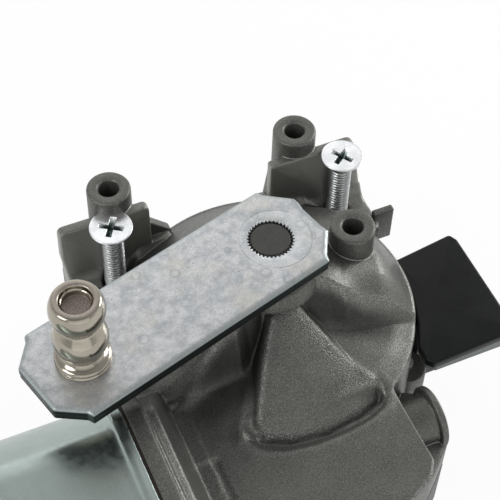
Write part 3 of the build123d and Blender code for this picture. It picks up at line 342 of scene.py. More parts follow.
# A closed skin over closed rings (rows, points, xyz in mm), drawn to a point at both ends or, as a loop, joined end
# to end. The rows' order is chosen so that the skin faces out.
def ringMesh(name, rings, material, smoothAngle=40, attributes=None, loop=False):
    a, c = rings, np.roll(rings, -1, axis=1)
    down = np.roll(rings, -1, axis=0) if loop else rings[1:]
    across = np.cross(c[:len(down)] - a[:len(down)], down - a[:len(down)])
    outside = (across * (a[:len(down)] - rings.mean(axis=(0, 1)))).sum()
    flip = -1 if outside < 0 else 1
    rings = rings[::flip]
    rows, count, _ = rings.shape
    i, j = np.meshgrid(np.arange(rows if loop else rows - 1), np.arange(count), indexing="ij")
    k, below = (j + 1) % count, (i + 1) % rows
    quads = (i * count + j, i * count + k, below * count + k, below * count + j)
    faces = np.stack(quads, axis=-1).reshape(-1, 4).tolist()
    verts = rings.reshape(-1, 3)
    if not loop:
        verts = np.concatenate([verts, [rings[0].mean(axis=0), rings[-1].mean(axis=0)]])
        around = np.arange(count)
        after = (around + 1) % count
        last = (rows - 1) * count
        faces += np.stack([after, around, np.full(count, rows * count)], axis=-1).tolist()
        faces += np.stack([last + around, last + after, np.full(count, rows * count + 1)], axis=-1).tolist()
    mesh = bpy.data.meshes.new(name)
    mesh.from_pydata((verts * mm).tolist(), [], faces)
    mesh.validate()
    mesh.materials.append(material)
    for key, values in (attributes or {}).items():
        values = values[::flip]
        layer = mesh.attributes.new(key, "FLOAT", "POINT")
        ends = [] if loop else [values[0].mean(), values[-1].mean()]
        layer.data.foreach_set("value", np.concatenate([values.reshape(-1), ends]).astype(np.float32))
    mesh.shade_smooth()
    mesh.set_sharp_from_angle(angle=math.radians(smoothAngle))
    return placed(name, mesh)


# Closed outline through corners (x, y, radius), each rounded by an arc.
def roundedOutline(corners, steps=6):
    points = []
    for n, (x, y, radius) in enumerate(corners):
        here = np.array([x, y])
        before = np.array(corners[n - 1][:2]) - here
        beyond = np.array(corners[(n + 1) % len(corners)][:2]) - here
        u, v = before / np.hypot(*before), beyond / np.hypot(*beyond)
        half = math.acos(np.clip(u @ v, -1, 1)) / 2
        reach = radius / math.tan(half) if radius > 0 else 0
        if reach < 1e-6:
            points.append(here)
            continue
        centre = here + (u + v) / np.hypot(*(u + v)) * radius / math.sin(half)
        start, end = here + u * reach - centre, here + v * reach - centre
        turn = math.atan2(cross(start, end), start @ end)
        aside = np.array([-start[1], start[0]])
        points += [centre + start * math.cos(a) + aside * math.sin(a) for a in np.linspace(0, turn, steps)]
    return np.array(points)


# The outline moved inwards, each point along the mean of its two side normals.
def inset(outline, distance):
    side = np.roll(outline, -1, axis=0) - outline
    normal = np.stack([-side[:, 1], side[:, 0]], axis=1) / np.maximum(np.hypot(*side.T), 1e-9)[:, None]
    both = normal + np.roll(normal, 1, axis=0)
    length = np.maximum((both ** 2).sum(axis=1), 0.5)
    return outline + both * (2 * distance / length)[:, None]


def cross(a, b):
    return a[..., 0] * b[..., 1] - a[..., 1] * b[..., 0]


# The outline, or its corners, in counter-clockwise order.
def orient(outline):
    return outline if cross(outline, np.roll(outline, -1, axis=0)).sum() > 0 else outline[::-1]


# How far in and how high each ring of a slab lies, its edges rounded.
def slabRows(low, high, roundLow, roundHigh):
    rows = []
    for radius, level, way in ((roundLow, low, -1), (roundHigh, high, 1)):
        arc = [(radius * (1 - math.sin(a)), level + way * (radius * math.cos(a) - radius))
               for a in np.linspace(0, math.pi / 2, 5)]
        rows += arc[::-way]
    return rows


# Rings of a straight prism on an outline.
def prismRings(corners, *slab):
    outline = orient(roundedOutline(corners))
    return np.array([np.column_stack([inset(outline, d), np.full(len(outline), z)]) for d, z in slabRows(*slab)])


def fullTurn(count, start=0):
    return np.linspace(start, start + 2 * math.pi, count, endpoint=False)


# Points at a radius and a height on each bearing.
def polar(radius, angle, height, centre=(0, 0)):
    x, y = centre[0] + radius * np.cos(angle), centre[1] + radius * np.sin(angle)
    return np.stack([x, y, np.broadcast_to(height, x.shape)], axis=-1)


# Rings of a profile of (radius, height) turned about an upright axis.
def turnedRings(profile, centre=(0, 0), count=64):
    radius, height = np.array(profile, dtype=float).T[..., None]
    return polar(radius, fullTurn(count), height, centre)


# Rings laid down: their height runs along +X, x along +Y and y along +Z.
def alongX(rings, centre):
    return np.stack([rings[..., 2], rings[..., 0] + centre[0], rings[..., 1] + centre[1]], axis=-1)


# Rings stood up: their height runs along -Y and y along +Z.
def alongY(rings):
    return np.stack([rings[..., 0], -rings[..., 2], rings[..., 1]], axis=-1)


# One object out of several.
def joined(name, parts):
    with bpy.context.temp_override(active_object=parts[0], selected_editable_objects=parts, selected_objects=parts,
                                   object=parts[0]):
        bpy.ops.object.join()
    parts[0].name = name
    parts[0].data.name = name
    return parts[0]


# The larger of a and b, the corner between them rounded over a span k.
def softMax(a, b, k):
    h = np.clip(0.5 + 0.5 * (a - b) / k, 0, 1)
    return b + (a - b) * h + k * h * (1 - h)


# The smaller of a and b, rounded alike.
def softMin(a, b, k):
    return -softMax(-a, -b, k)


# The positive part of v, rounded alike.
def softPositive(v, k):
    return 0.5 * (v + np.sqrt(v ** 2 + k ** 2))


# From 0 to 1, level at both ends.
def smoothStep(t):
    t = np.clip(t, 0, 1)
    return t * t * (3 - 2 * t)


# Distance from (x, y) to a run of straight pieces.
def lineDistance(x, y, points):
    best = np.full(np.shape(x), np.inf)
    for (ax, ay), (bx, by) in zip(points[:-1], points[1:]):
        t = np.clip(((x - ax) * (bx - ax) + (y - ay) * (by - ay)) / ((bx - ax) ** 2 + (by - ay) ** 2), 0, 1)
        best = np.minimum(best, np.hypot(x - ax - t * (bx - ax), y - ay - t * (by - ay)))
    return best


# Signed distance to a closed outline, positive inside.
def insideDepth(x, y, points):
    points = tuple(map(tuple, points))
    distance = lineDistance(x, y, points + points[:1])
    inside = np.zeros(np.shape(x), dtype=bool)
    for (ax, ay), (bx, by) in zip(points, points[1:] + points[:1]):
        crosses = (ay > y) != (by > y)
        inside ^= crosses & (x < (bx - ax) * (y - ay) / (by - ay + 1e-12) + ax)
    return np.where(inside, distance, -distance)


# gear housing casting; a cone is (height, fall per mm, radius where it has that height), a bead (height, width)
casting = {
    "deck": -24, "joint": -47, "rimRadius": 38.6, "wall": 3, "edge": 0.9,
    "cones": {"plateau": (-5.5, 0.898, 18), "crown": (-3.4, 0.12, 12), "full": (-5.4, 0.3, 17.5),
              "fullRim": (-24, 1.6, 39.4), "right": (-15.6, 0.24, 13), "rightRim": (-24, 0.9, 38.6),
              "left": (-16, 0.364, 12), "pad": (-7.75, 0.667, 12)},
    "rightRidge": ((6, -6.5), (12, -9.3), (15.4, -11.8), (19.7, -13.7), (25.9, -15.1), (32.6, -16.4), (42, -18.3)),
    "leftRidge": ((-42, -15.5), (-35.3, -14.6), (-28, -13.4), (-20, -12.2), (-14.2, -11.2), (-11, -8.5), (-6, -6.5)),
    "pad": ((-4.9, -7), (3.4, -7), (5, -11.6), (17.2, -31.2), (16.6, -34.6), (9.6, -37.2), (0, -38.4), (-9.6, -37.2),
            (-16.2, -34.4), (-17.4, -30), (-6, -11.6)),
    "leftEdge": ((-5.1, -12), (-7, -14.6), (-10, -19.2), (-12.9, -24.3), (-15.4, -28.6)),
    "rightEdge": ((3.7, -11.2), (7.1, -16.9), (10, -22.5), (13.3, -27.3), (15.9, -31.2)),
    "moat": ((17.8, -32.6), (14.9, -35.2), (10.1, -37.1), (3.2, -38.2), (-4, -38.2), (-10.7, -37), (-15.2, -35.2),
             (-17.8, -32.6), (-18.2, -30)),
    "lip": ((18.6, -32), (18.2, -35), (16.2, -37.4), (11.9, -39.2), (7.3, -40.1), (0.8, -40.6), (-5.5, -40.6),
            (-13.2, -39.2), (-18.6, -36.4), (-20.8, -32.4), (-19.5, -29), (-17.1, -24.7), (-14.4, -20.4)),
    "bank": ((-36.5, -18.6), (-28.6, -16.4), (-20.6, -12.8), (-16, -9)),
    "beads": {"bank": (1.5, 2), "leftEdge": (1.15, 1.5), "rightEdge": (0.2, 1.1), "moat": (-0.85, 1.9),
              "lip": (0.6, 1.6)},
    "wallSlope": 1.9, "padSideSlope": 1.8, "padRound": 2.4, "frontBoss": (23.6, 1.4), "bossWell": (4.8, -21),
    "fullBearings": (-42, -14, 24, 60), "patch": (-34.6, -28.2, -46, -34.2), "patchDepth": 0.55,
    "throatClimb": ((-44, 27.4), (-42.2, 26.6), (-41.6, 25.2), (-39.6, 24.4), (-39, 22.6), (-34, 11)),
    # strength of the painted shade along x
    "paintedShadeAlong": ((-33, 0), (-20, 0.9), (-8, 1), (14, 1), (22, 0.9), (36, 0.35)),
    "outerWall": ((20, -25), (20, -55.1), (17.4, -58.9), (10.3, -62.5), (1.3, -69.5), (-43.4, -69.5), (-43.4, -9),
                  (-30, -9)),
    "cornerBearings": (-70.05, -73.45, -80.65, -88.93, -121.97, -168.3, -166.8, -167.4, -168),
    "motorY": -38.5, "motorZ": -35.5, "throatRadius": 29.5,
}
castSurface = finishes["die_cast"]


def coneHeight(r, name):
    height, fall, start = casting["cones"][name]
    return height - fall * (r - start)


def beadHeight(x, y, name):
    height, width = casting["beads"][name]
    return height * np.exp(-(lineDistance(x, y, casting[name]) / width) ** 2)


def follow(x, name):
    return np.interp(x, *np.array(casting[name]).T)


def ridgeY(x):
    return np.where(x > 0, follow(x, "rightRidge"), follow(x, "leftRidge"))


# Height of the casting's upper side: dome, pad, floors, deck and throat, softly joined.
def castHeight(x, y):
    c = casting
    r = np.hypot(x, y)
    crown = coneHeight(r, "crown")
    plateau = softMin(coneHeight(r, "plateau"), crown, 3)
    # the dome is fuller towards the front boss
    east = smoothStep(np.interp(np.degrees(np.arctan2(y, x)), c["fullBearings"], (0, 1, 1, 0)))
    full = softMin(softMin(coneHeight(r, "full"), coneHeight(r, "fullRim"), 3), crown, 3)
    plateau += east * np.clip(full - plateau, 0, None)
    # south of the ridges a wall drops to the sunk floors, with a lower bank at the left
    fall = softPositive(ridgeY(x) - y + 0.6, 1.6) - 0.55
    dropped = plateau - c["wallSlope"] * np.clip(fall, 0, None)
    floorRight = softMin(coneHeight(r, "right"), coneHeight(r, "rightRim"), 2)
    floorLeft = coneHeight(r, "left")
    side = np.clip((x + 8) / 14, 0, 1)
    height = softMax(dropped, floorLeft + (floorRight - floorLeft) * side, 2.6)
    height = np.where(y > 0, plateau, height)
    height += beadHeight(x, y, "bank") * np.clip((-y - 9) / 4, 0, 1)
    # raised pad on a cone, its rounded sides falling to the floors
    shrunk = inset(orient(np.array(c["pad"])), c["padRound"])
    depth = insideDepth(x, y, shrunk) + c["padRound"]
    outside = softPositive(1.1 - depth, 1.3) - 0.1
    pad = coneHeight(r, "pad") - c["padSideSlope"] * np.clip(outside, 0, None)
    height = softMax(height, pad, 0.8)
    height = softMax(height, np.full_like(r, c["deck"]), 1.6)
    # inside the front boss the skin sinks below the hole
    reach, bottom = c["bossWell"]
    toBoss = np.hypot(x - c["frontBoss"][0], y - c["frontBoss"][1])
    height += (np.minimum(height, bottom) - height) * np.clip((reach - toBoss) / 1.4, 0, 1)
    # the pad's foot lies in a moat with a soft lip
    under = smoothStep(np.clip((depth + 0.4) / 1.4, 0, 1) * np.clip((-y - 30.5) / 2.5, 0, 1))
    height += (np.minimum(pad, height) - height) * under
    for name in ("leftEdge", "rightEdge", "moat"):
        height += beadHeight(x, y, name)
    height += beadHeight(x, y, "lip") * np.clip((r - 22) / 8, 0, 1)
    # shallow sunk patch in the deck
    left, right, front, back = c["patch"]
    patch = np.minimum(np.minimum(x - left, right - x), np.minimum(y - front, back - y))
    height -= c["patchDepth"] * smoothStep(0.5 + patch / 0.9)
    # throat that climbs from the deck to the can's flange
    ring = np.sqrt(np.clip(c["throatRadius"] ** 2 - (y - c["motorY"]) ** 2, 0, None))
    throat = c["motorZ"] + softMin(follow(x, "throatClimb"), ring, 2)
    return np.where(x < -30, softMax(height, throat, 1.4), height)


# Painted shade at the foot of the walls below the ridges, off the pad.
def castPaintedShade(x, y):
    south = ridgeY(x) - y
    across = smoothStep(np.clip(south / 2, 0, 1) * np.clip((np.where(x > 0, 9.5, 15) - south) / 6, 0, 1))
    return across * follow(x, "paintedShadeAlong") * np.clip((0.2 - insideDepth(x, y, casting["pad"])) / 1.2, 0, 1)


# How far each bearing's ray runs from the origin to the farthest side of an outline.
def rayReach(angle, corners, least=0):
    ray = np.stack([np.cos(angle), np.sin(angle)], axis=-1)
    reach = np.full_like(angle, least)
    for corner, side in zip(corners, np.roll(corners, -1, axis=0) - corners):
        facing = cross(ray, side)
        facing = np.where(np.abs(facing) < 1e-9, 1e-9, facing)
        far, along = cross(corner, side) / facing, cross(corner, ray) / facing
        hit = (far > 0) & (along >= -1e-6) & (along <= 1 + 1e-6)
        reach = np.where(hit, np.maximum(reach, far), reach)
    return reach


# The dome, deck and casing: rings from the shaft to the outer wall, down it, and back inside.
def castSkin():
    c = casting
    angle = np.unique(np.concatenate([fullTurn(456, -math.pi), np.radians(c["cornerBearings"])]))
    reach = rayReach(angle, np.array(c["outerWall"]), c["rimRadius"])
    edge = c["edge"]
    inner = np.minimum(40.6, reach * 0.93)
    radii = [inner * s for s in np.linspace(0.22, 1, 86)]
    radii += [inner + (reach - edge - inner) * s for s in np.linspace(0, 1, 50)[1:]]
    radii = np.array(radii)
    x, y = radii * np.cos(angle), radii * np.sin(angle)
    z = castHeight(x, y)
    # painted bright where the skin stands above its surroundings, part wear and part painted highlight
    step = 0.7
    around = sum(castHeight(x + dx, y + dy) for dx, dy in ((step, 0), (-step, 0), (0, step), (0, -step))) / 4
    rows, wearAndSheen = [polar(radii, angle, z)], [np.clip((z - around) / 0.16, 0, 1)]

    def addRing(radius, level, wornAndSheen=0):
        rows.append(polar(radius, angle, level)[None])
        wearAndSheen.append(np.full((1, len(angle)), wornAndSheen))

    # the rounded rim is painted bright too, part wear and part painted highlight
    for a in np.linspace(0, math.pi / 2, 5)[1:]:
        addRing(reach - edge + edge * math.sin(a), z[-1] - edge * (1 - math.cos(a)), 0.9 * math.sin(2 * a))
    for share in np.linspace(0, 1, 9)[1:]:
        addRing(reach, (z[-1] - edge) * (1 - share) + c["joint"] * share)
    for share, level in ((1, c["joint"]), (1, -38), (1, -28.4), (0.5, -28), (0.02, -28)):
        addRing((reach - c["wall"]) * share, level)
    rows = np.concatenate(rows)
    clean = np.zeros((len(rows) - len(z), len(angle)))
    coarse = np.clip(insideDepth(x, y, c["pad"]) / 1.6, 0, 1)
    return ringMesh("castSkin", rows, castSurface, 50,
                    {"wearAndSheen": np.concatenate(wearAndSheen), "coarse": np.concatenate([coarse, clean]),
                     "paintedShade": np.concatenate([castPaintedShade(x, y), clean]), "paintedLight": np.zeros(rows.shape[:2])})


# Corners (x, y, radius) of a counter-clockwise outline moved inwards, their radii following.
def insetCorners(corners, distance):
    xy = np.array([c[:2] for c in corners])
    before, after = xy - np.roll(xy, 1, axis=0), np.roll(xy, -1, axis=0) - xy
    moved = inset(xy, distance)
    radii = np.array([c[2] for c in corners])
    radii = np.where(cross(before, after) > 0, np.maximum(radii - distance, 0.05), radii + distance)
    return [(x, y, r) for (x, y), r in zip(moved, radii)]


# Rings about a centre. A profile entry is ("at", radius, z), ("edge", distance inside the outline, z),
# ("mix", share of the way from the mouth to 1 inside the outline, z) or ("tooth", radius, z), whose radius swings.
def starRings(outline, centre, profile, count=160, turn=0, teeth=36, toothDepth=0.2, mouth=4.4):
    corners = orient(np.array(outline) - (*centre, 0))
    rounded = roundedOutline(corners, 8)
    bearings = np.arctan2(rounded[:, 1], rounded[:, 0])
    angle = np.unique(np.round(np.concatenate([fullTurn(count, -math.pi), bearings]), 6))
    swing = toothDepth * np.clip(1.8 * np.sin(teeth * angle), -1, 1)

    def rimReach(distance):
        return rayReach(angle, roundedOutline(insetCorners(corners, distance), 8))

    nearRim = rimReach(1)
    radii = {"edge": rimReach, "mix": lambda share: mouth + (nearRim - mouth) * share,
             "at": lambda radius: np.full(len(angle), radius), "tooth": lambda radius: radius + swing}
    return np.array([polar(radii[kind](value), angle + turn, z, centre) for kind, value, z in profile])


screwSpots = ((-31.8, 27.7), (33.2, 26.9))
deck = casting["deck"]
ear = {"pitRadius": 3.7, "sink": 3.2, "wallFront": 30.8, "wallBack": 33.5, "wallTop": -5, "fillet": 4.5, "foot": -36,
       "bosses": ((-28.9, 36.8), (23.6, 36.8))}


# An ear's floor over the deck: flush at the dome's rim, sunk round the screw, swept up to the wall.
def earLift(x, y):
    sunk = -ear["sink"] * smoothStep((np.hypot(x, y) - 38) / 3.5)
    t = np.clip((y - ear["wallFront"] + ear["fillet"]) / ear["fillet"], 0, 1)
    return sunk + ear["fillet"] * (1 - np.sqrt(1 - 0.98 * t * t))


# Ear floor round a mounting screw: pit, its mouth, top, edge, side and underside.
def earPlate(name, outline, spot):
    pit = ear["pitRadius"]
    profile = [("at", 0.05, -8), ("at", pit - 0.4, -8), ("at", pit, -7.6), ("at", pit, -0.4), ("at", pit + 0.12, -0.12),
               ("at", pit + 0.4, 0)]
    profile += [("mix", share, 0) for share in np.linspace(0.04, 1, 14)]
    profile += [("edge", 0.9, 0), ("edge", 0.35, -0.15), ("edge", 0.1, -0.45), ("edge", 0, -0.9), ("edge", 0, -5.6),
                ("edge", 0.4, -6), ("at", 5.2, -6), ("at", 5.2, -9), ("at", 0.05, -9)]
    rings = starRings(outline, spot, [(kind, value, deck + z) for kind, value, z in profile])
    rings[..., 2] += np.where(rings[..., 2] > deck - 1, earLift(rings[..., 0], rings[..., 1]), 0)
    cast(name, rings)


# A piece of the casting, kept for joining.
def cast(name, rings, loop=False):
    # the ears and walls carry painted light on their upright sides
    paint = {"wearAndSheen": 0, "coarse": 0, "paintedShade": 0, "paintedLight": name in ("leftEar", "rightEar", "leftWall", "rightWall")}
    paint = {key: np.full(rings.shape[:2], float(value)) for key, value in paint.items()}
    pieces.append(ringMesh(name, rings, castSurface, 40, paint, loop))


pieces = [castSkin()]
earOutlines = {
    "leftEar": [(-43.6, 10, 2.5), (-43.6, 37.9, 1.5), (-14, 37.9, 0.5), (-14, 32, 0.5), (-28, 22, 0.5), (-36, 10, 0.5)],
    "rightEar": [(42.6, 17, 2.5), (42.2, 37.9, 1.5), (13.6, 37.9, 0.5), (13.6, 32, 0.5), (26, 22, 0.5), (33, 17, 0.5)],
}
for (name, outline), spot in zip(earOutlines.items(), screwSpots):
    earPlate(name, outline, spot)
foot, wallTop, wallFront, wallBack = (ear[key] for key in ("foot", "wallTop", "wallFront", "wallBack"))
# strips below the ears' edges, and a tab beside the dome; the first four stay below the sunk floors
skirts = [((-43.5, -41), (10, 38)), ((-41.2, -14), (35.5, 38)), ((39.5, 42), (17, 38)), ((14, 39.7), (35.5, 38)),
          ((41, 47.1), (19.1, 21.1))]
for n, ((x0, x1), (y0, y1)) in enumerate(skirts):
    outline = [(x, y, 0.4) for x, y in ((x0, y0), (x1, y0), (x1, y1), (x0, y1))]
    cast(f"earSkirt{n}", prismRings(outline, foot, deck - 3.6 if n < 4 else deck, 0.4, 0.5))
walls = {
    "leftWall": ([(-43.6, foot, 0.5), (-43.7, -25, 6), (-44.8, -15, 6), (-44.6, wallTop, 1.6), (-20.2, wallTop, 1.6),
                  (-19.8, -20, 3), (-19, foot, 0.5)], wallFront, wallBack),
    "leftRib": ([(-30, foot, 0.5), (-30, -12, 0.5), (-22.5, -12, 1.5), (-18.8, -15.2, 2.5), (-13.4, -20.6, 2.5),
                 (-12, foot, 0.5)], wallBack - 0.3, 36),
    "rightWall": ([(42.6, foot, 0.5), (41.8, -23, 6), (38.9, wallTop, 2.2), (14.4, wallTop, 0.8),
                   (14.6, foot, 0.5)], wallFront, wallBack),
}
for name, (outline, front, back) in walls.items():
    cast(name, alongY(prismRings(outline, -back, -front, 0.4, 0.5)))
# buttresses down the walls' backs
buttress = [(31.5, foot, 0.3), (31.5, wallTop - 1.6, 0.2), (33.4, wallTop - 1.6, 0.4), (37.6, -26, 1),
            (37.9, foot, 0.3)]
for n, (x0, x1) in enumerate(((14.6, 18.6), (-43.4, -34), (-24, -20.6), (28, 38))):
    cast(f"buttress{n}", alongX(prismRings(buttress, x0, x1, 0.4, 0.4), (0, 0)))
# bosses with their screw holes, rounded at the rim
for n, (spot, low, bottom) in enumerate([(spot, -30, -23.9) for spot in ear["bosses"]]
                                        + [(casting["frontBoss"], -27.5, -19.5)]):
    profile = [(0.05, bottom), (2.65, bottom), (2.65, -0.5), (2.85, -0.2), (3.2, 0), (5.1, 0), (5.5, -0.12),
               (5.68, -0.35), (5.75, -0.7), (5.82, -12), (5.9, low), (0.05, low)]
    cast(f"boss{n}", turnedRings(profile, spot, 72))
bossFoot = [(2.65, -29), (2.65, -35.6), (3, -36), (5.5, -36), (5.9, -35.6), (5.9, -29)]
for n, spot in enumerate(ear["bosses"]):
    cast(f"bossFoot{n}", turnedRings(bossFoot, spot, 72), loop=True)
screwLug = [(0.05, -47), (6, -47), (6, -29), (0.05, -29)]
for n, spot in enumerate(screwSpots):
    cast(f"screwLug{n}", turnedRings(screwLug, spot))
coverLug = [(0.05, -47), (5.5, -47), (5.5, -40.6), (5.2, -40.15), (4.6, -40), (0.05, -40)]
for n, spot in enumerate(((32.5, -19.5), (-40, 13), (0, 41))):
    cast(f"coverLug{n}", turnedRings(coverLug, spot))
shelf = [(18, -55.1, 0.3), (21.9, -53.7, 1), (30.4, -46.2, 2), (30.4, -30.8, 2), (18, -23.8, 0.3)]
cast("shelf", prismRings(shelf, -47, -36, 0.3, 0.8))
hub = [(0.05, -6), (12.6, -6), (12, -3.8), (11.2, -2.6), (11, -1.6), (11, 0.8), (10.8, 1.2), (10.4, 1.4), (8.2, 1.4),
       (8, 1.2), (8, -1.6), (0.05, -1.6)]
cast("hub", turnedRings(hub, count=96))
motorAxis = (casting["motorY"], casting["motorZ"])
endBoss = [(0.05, 16), (6.8, 16), (6.8, 27.4), (7.1, 28), (8, 28.3), (8.3, 28.6), (8.3, 29.9), (8, 30.2), (4.6, 30.2),
           (4.2, 29.9), (4.2, 26), (0.05, 26)]
cast("endBoss", alongX(turnedRings(endBoss), motorAxis))
# flange plate: a disc with a flat above and below
flange = {"radius": 33.5, "flat": 30.2, "slab": (-47.4, -43, 0.2, 1.1)}
disc = polar(flange["radius"], fullTurn(120), 0)
disc[:, 1] = np.clip(disc[:, 1], -flange["flat"], flange["flat"])
flangeRings = [disc * (1 - d / flange["radius"]) + (0, 0, z) for d, z in slabRows(*flange["slab"])]
cast("caseFlange", alongX(np.array(flangeRings), motorAxis))
lower = [(-29, -11.5, 0.5), (29, -11.5, 0.5), (28, -17, 8), (16, -30.2, 10), (-16, -30.2, 10), (-28, -17, 8)]
cast("lowerThroat", alongX(prismRings(lower, -43.4, -30, 0.3, 0.8), motorAxis))


# A profile turned about each of the two screws that hold the can.
def besideMotor(profile, side=36.5):
    return [alongX(turnedRings(profile), motorAxis + np.array([way * side, 0])) for way in (-1, 1)]


canLug = [(0.05, -47.4), (5.8, -47.4), (6, -47.2), (6, -39), (5.4, -38.4), (0.05, -38.4)]
for n, rings in enumerate(besideMotor(canLug)):
    cast(f"canLug{n}", rings)
castBody = joined("castHousing", pieces)
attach(castBody, "motor")
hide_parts("gear_housing")
print("casting made:", len(castBody.data.polygons), "faces")


# connector's flat cap, proud of the moulding below it
cap = {"slab": (-28.6, -25.95, 0.3, 0.7),
       "outline": [(39.7, 4.3, 1), (57.8, 6.6, 1.2), (59, 4.2, 1.5), (59, -28.4, 1.2), (34.2, -29.4, 1.2),
                   (32.6, -27.6, 1.2), (32.6, -23.4, 1.2), (35.9, -16.6, 6), (38.4, -9, 8), (39.5, -1.5, 6)]}
capSkin = ringMesh("connectorCap", prismRings(cap["outline"], *cap["slab"]), finishes["cap_plastic"])
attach(capSkin, "motor")
print("connector cap made:", len(capSkin.data.polygons), "faces")

# drawn can: tube at its closed end, body, flange, bore inside, and two ears
can = {"radius": 31.2, "top": 29.2, "flangeRadius": 33.5, "flangeTop": 30.2, "flange": (-51, -48.2), "fillet": 2.2,
       "end": -122, "endRound": 3.5, "tube": 9, "tubeEnd": -128, "wall": 2.2, "boreRadius": 29, "boreTop": 28,
       "mouthRound": 1.5, "tubeFillet": 1.2, "earRadius": 6}


# A ring on the motor axis, pressed flat above and below.
def pressedRing(radius, top, x):
    ring = polar(radius, fullTurn(200), x)
    ring[:, 1] = np.sign(ring[:, 1]) * softMin(np.abs(ring[:, 1]), top, 0.9)
    return ring


# (radius, height of the flats, x) of each ring, along the outside and back inside.
def canProfile():
    radius, top, rim, rimTop, wall = (can[key] for key in ("radius", "top", "flangeRadius", "flangeTop", "wall"))
    tube, tubeEnd, end, bend, fillet = (can[key] for key in ("tube", "tubeEnd", "end", "endRound", "fillet"))
    mouth, neck, (back, front) = can["mouthRound"], can["tubeFillet"], can["flange"]
    grow, lift, noFlat = rim - 0.3 - radius, rimTop - 0.2 - top, 2 * tube
    quarter = [(math.sin(a), 1 - math.cos(a)) for a in np.linspace(0, math.pi / 2, 8)]
    rows = [(0.05, 1, tubeEnd), (tube - mouth, noFlat, tubeEnd)]
    rows += [(tube - mouth + mouth * s, noFlat, tubeEnd + mouth * v) for s, v in quarter[1:]]
    rows += [(tube, noFlat, end - neck)] + [(tube + neck * v, noFlat, end - neck + neck * s) for s, v in quarter[1:]]
    rows += [(radius - bend + bend * s, top - bend + bend * s, end + bend * v) for s, v in quarter]
    rows += [(radius + grow * v, top + lift * v, back - fillet + fillet * s) for s, v in quarter]
    return rows + [(rim, rimTop, back + 0.3), (rim, rimTop, front - 0.3), (rim - 0.3, rimTop - 0.2, front),
                   (can["boreRadius"], can["boreTop"], front), (can["boreRadius"], can["boreTop"], end + wall),
                   (tube - wall, noFlat, end + wall), (tube - wall, noFlat, tubeEnd + wall), (0.05, 1, tubeEnd + wall)]


canRings = np.array([pressedRing(*row) for row in canProfile()])
canParts = [ringMesh("canShell", alongX(canRings, motorAxis), finishes["can_steel"], 35)]
r, (back, front) = can["earRadius"], can["flange"]
canEar = [(0.05, back), (r - 0.5, back), (r - 0.15, back + 0.15), (r, back + 0.5), (r, front - 0.2), (r - 0.2, front),
          (0.05, front)]
canParts += [ringMesh(f"canEar{n}", rings, finishes["can_steel"]) for n, rings in enumerate(besideMotor(canEar))]
drawnCan = joined("drawnCan", canParts)
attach(drawnCan, "motor")
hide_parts("motor_can")
print("can made:", len(drawnCan.data.polygons), "faces")


# crank arm
crank = {"angle": 195.85, "top": 7.92, "under": 3.92, "shaftHole": 5.55, "rollOver": 1.5,
         "outline": [(-13, -4.6, 0.2), (-12.9, -6.4, 0.2), (-7.8, -12, 1), (-7, -13.8, 1.2), (62.3, -13.8, 1),
                     (62.9, -12.2, 0.8), (68.4, -7, 1), (68.4, 7, 1), (62.9, 12.2, 0.8), (62.3, 13.8, 0.4),
                     (-7, 13.8, 0.4), (-7.8, 12, 0.8), (-12.9, 6.6, 0.4), (-12.5, 4, 0.6), (-12.5, -2.5, 0.6)]}
top, under, hole = crank["top"], crank["under"], crank["shaftHole"]
profile = [("tooth", hole, under), ("tooth", hole, top - 0.3), ("tooth", hole + 0.1, top - 0.08),
           ("tooth", hole + 0.3, top), ("at", 8, top), ("at", 10.5, top), ("edge", 2, top)]
profile += [("edge", crank["rollOver"] * (1 - math.sin(a)), top - 0.75 + 0.75 * math.cos(a))
            for a in np.linspace(0, math.pi / 2, 8)]
profile += [("edge", 0, top - 2.1), ("edge", 0.13, top - 2.25), ("edge", 0.18, under + 0.5),
            ("edge", 0.12, under + 0.3), ("edge", 0.3, under + 0.08), ("edge", 0.6, under), ("at", 8, under)]
turn = math.radians(crank["angle"])
rings = starRings(crank["outline"], (0, 0), profile, 432, turn)
border = np.array([max(0, 1 - row[1] / 1.5) if row[0] == "edge" and row[2] > top - 1 else 0 for row in profile])
border = np.broadcast_to(border[:, None], rings.shape[:2])
crankPlate = ringMesh("crankPlate", rings, finishes["crank_zinc"], 30, {"border": border}, loop=True)
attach(crankPlate, "crank")
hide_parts("crank_arm")
print("crank made:", len(crankPlate.data.polygons), "faces")

# double ball stud; "dull" marks its unpolished top and bore
stud = {"reach": 55.3, "ballRadius": 6.4, "lowBall": 16.7, "highBall": 27.05, "topZ": 30.5, "bore": 3.25,
        "boreDepth": 2.7}
spot = (stud["reach"] * math.cos(turn), stud["reach"] * math.sin(turn))
low, high, radius, topZ = stud["lowBall"], stud["highBall"], stud["ballRadius"], stud["topZ"]
profile = [(0.05, 2.4), (5.2, 2.4), (5.8, 2.6), (6.2, 3.2), (6.2, 4), (4, 4), (4, 7.8), (6.3, 7.8), (6.52, 8),
           (6.6, 8.3), (6.52, 8.62), (6.3, 8.8), (6.15, 8.95), (6.35, 9.15), (6.55, 9.4), (6.6, 9.7), (6.55, 10),
           (6.3, 10.3), (5.95, 10.45), (5.2, 10.8), (4.75, 11.3), (4.6, 11.8)]
profile += [(radius * math.cos(a), low + radius * math.sin(a)) for a in np.radians(np.linspace(-44, 44, 25))]
profile += [(4.4, 21.6), (4.36, 21.88), (4.4, 22.15)]
profile += [(radius * math.cos(a), high + radius * math.sin(a)) for a in np.radians(np.linspace(-44, 29, 22))]
profile += [(5.42, topZ - 0.22), (5.2, topZ - 0.05), (4.9, topZ)]
polished = len(profile)
bore, boreFloor = stud["bore"], topZ - stud["boreDepth"]
profile += [(4.1, topZ), (3.95, topZ - 0.06), (3.75, topZ - 0.35), (3.6, topZ - 0.9), (3.45, topZ - 1.1),
            (bore, topZ - 1.25), (bore, boreFloor + 0.3)]
boreWall = len(profile)
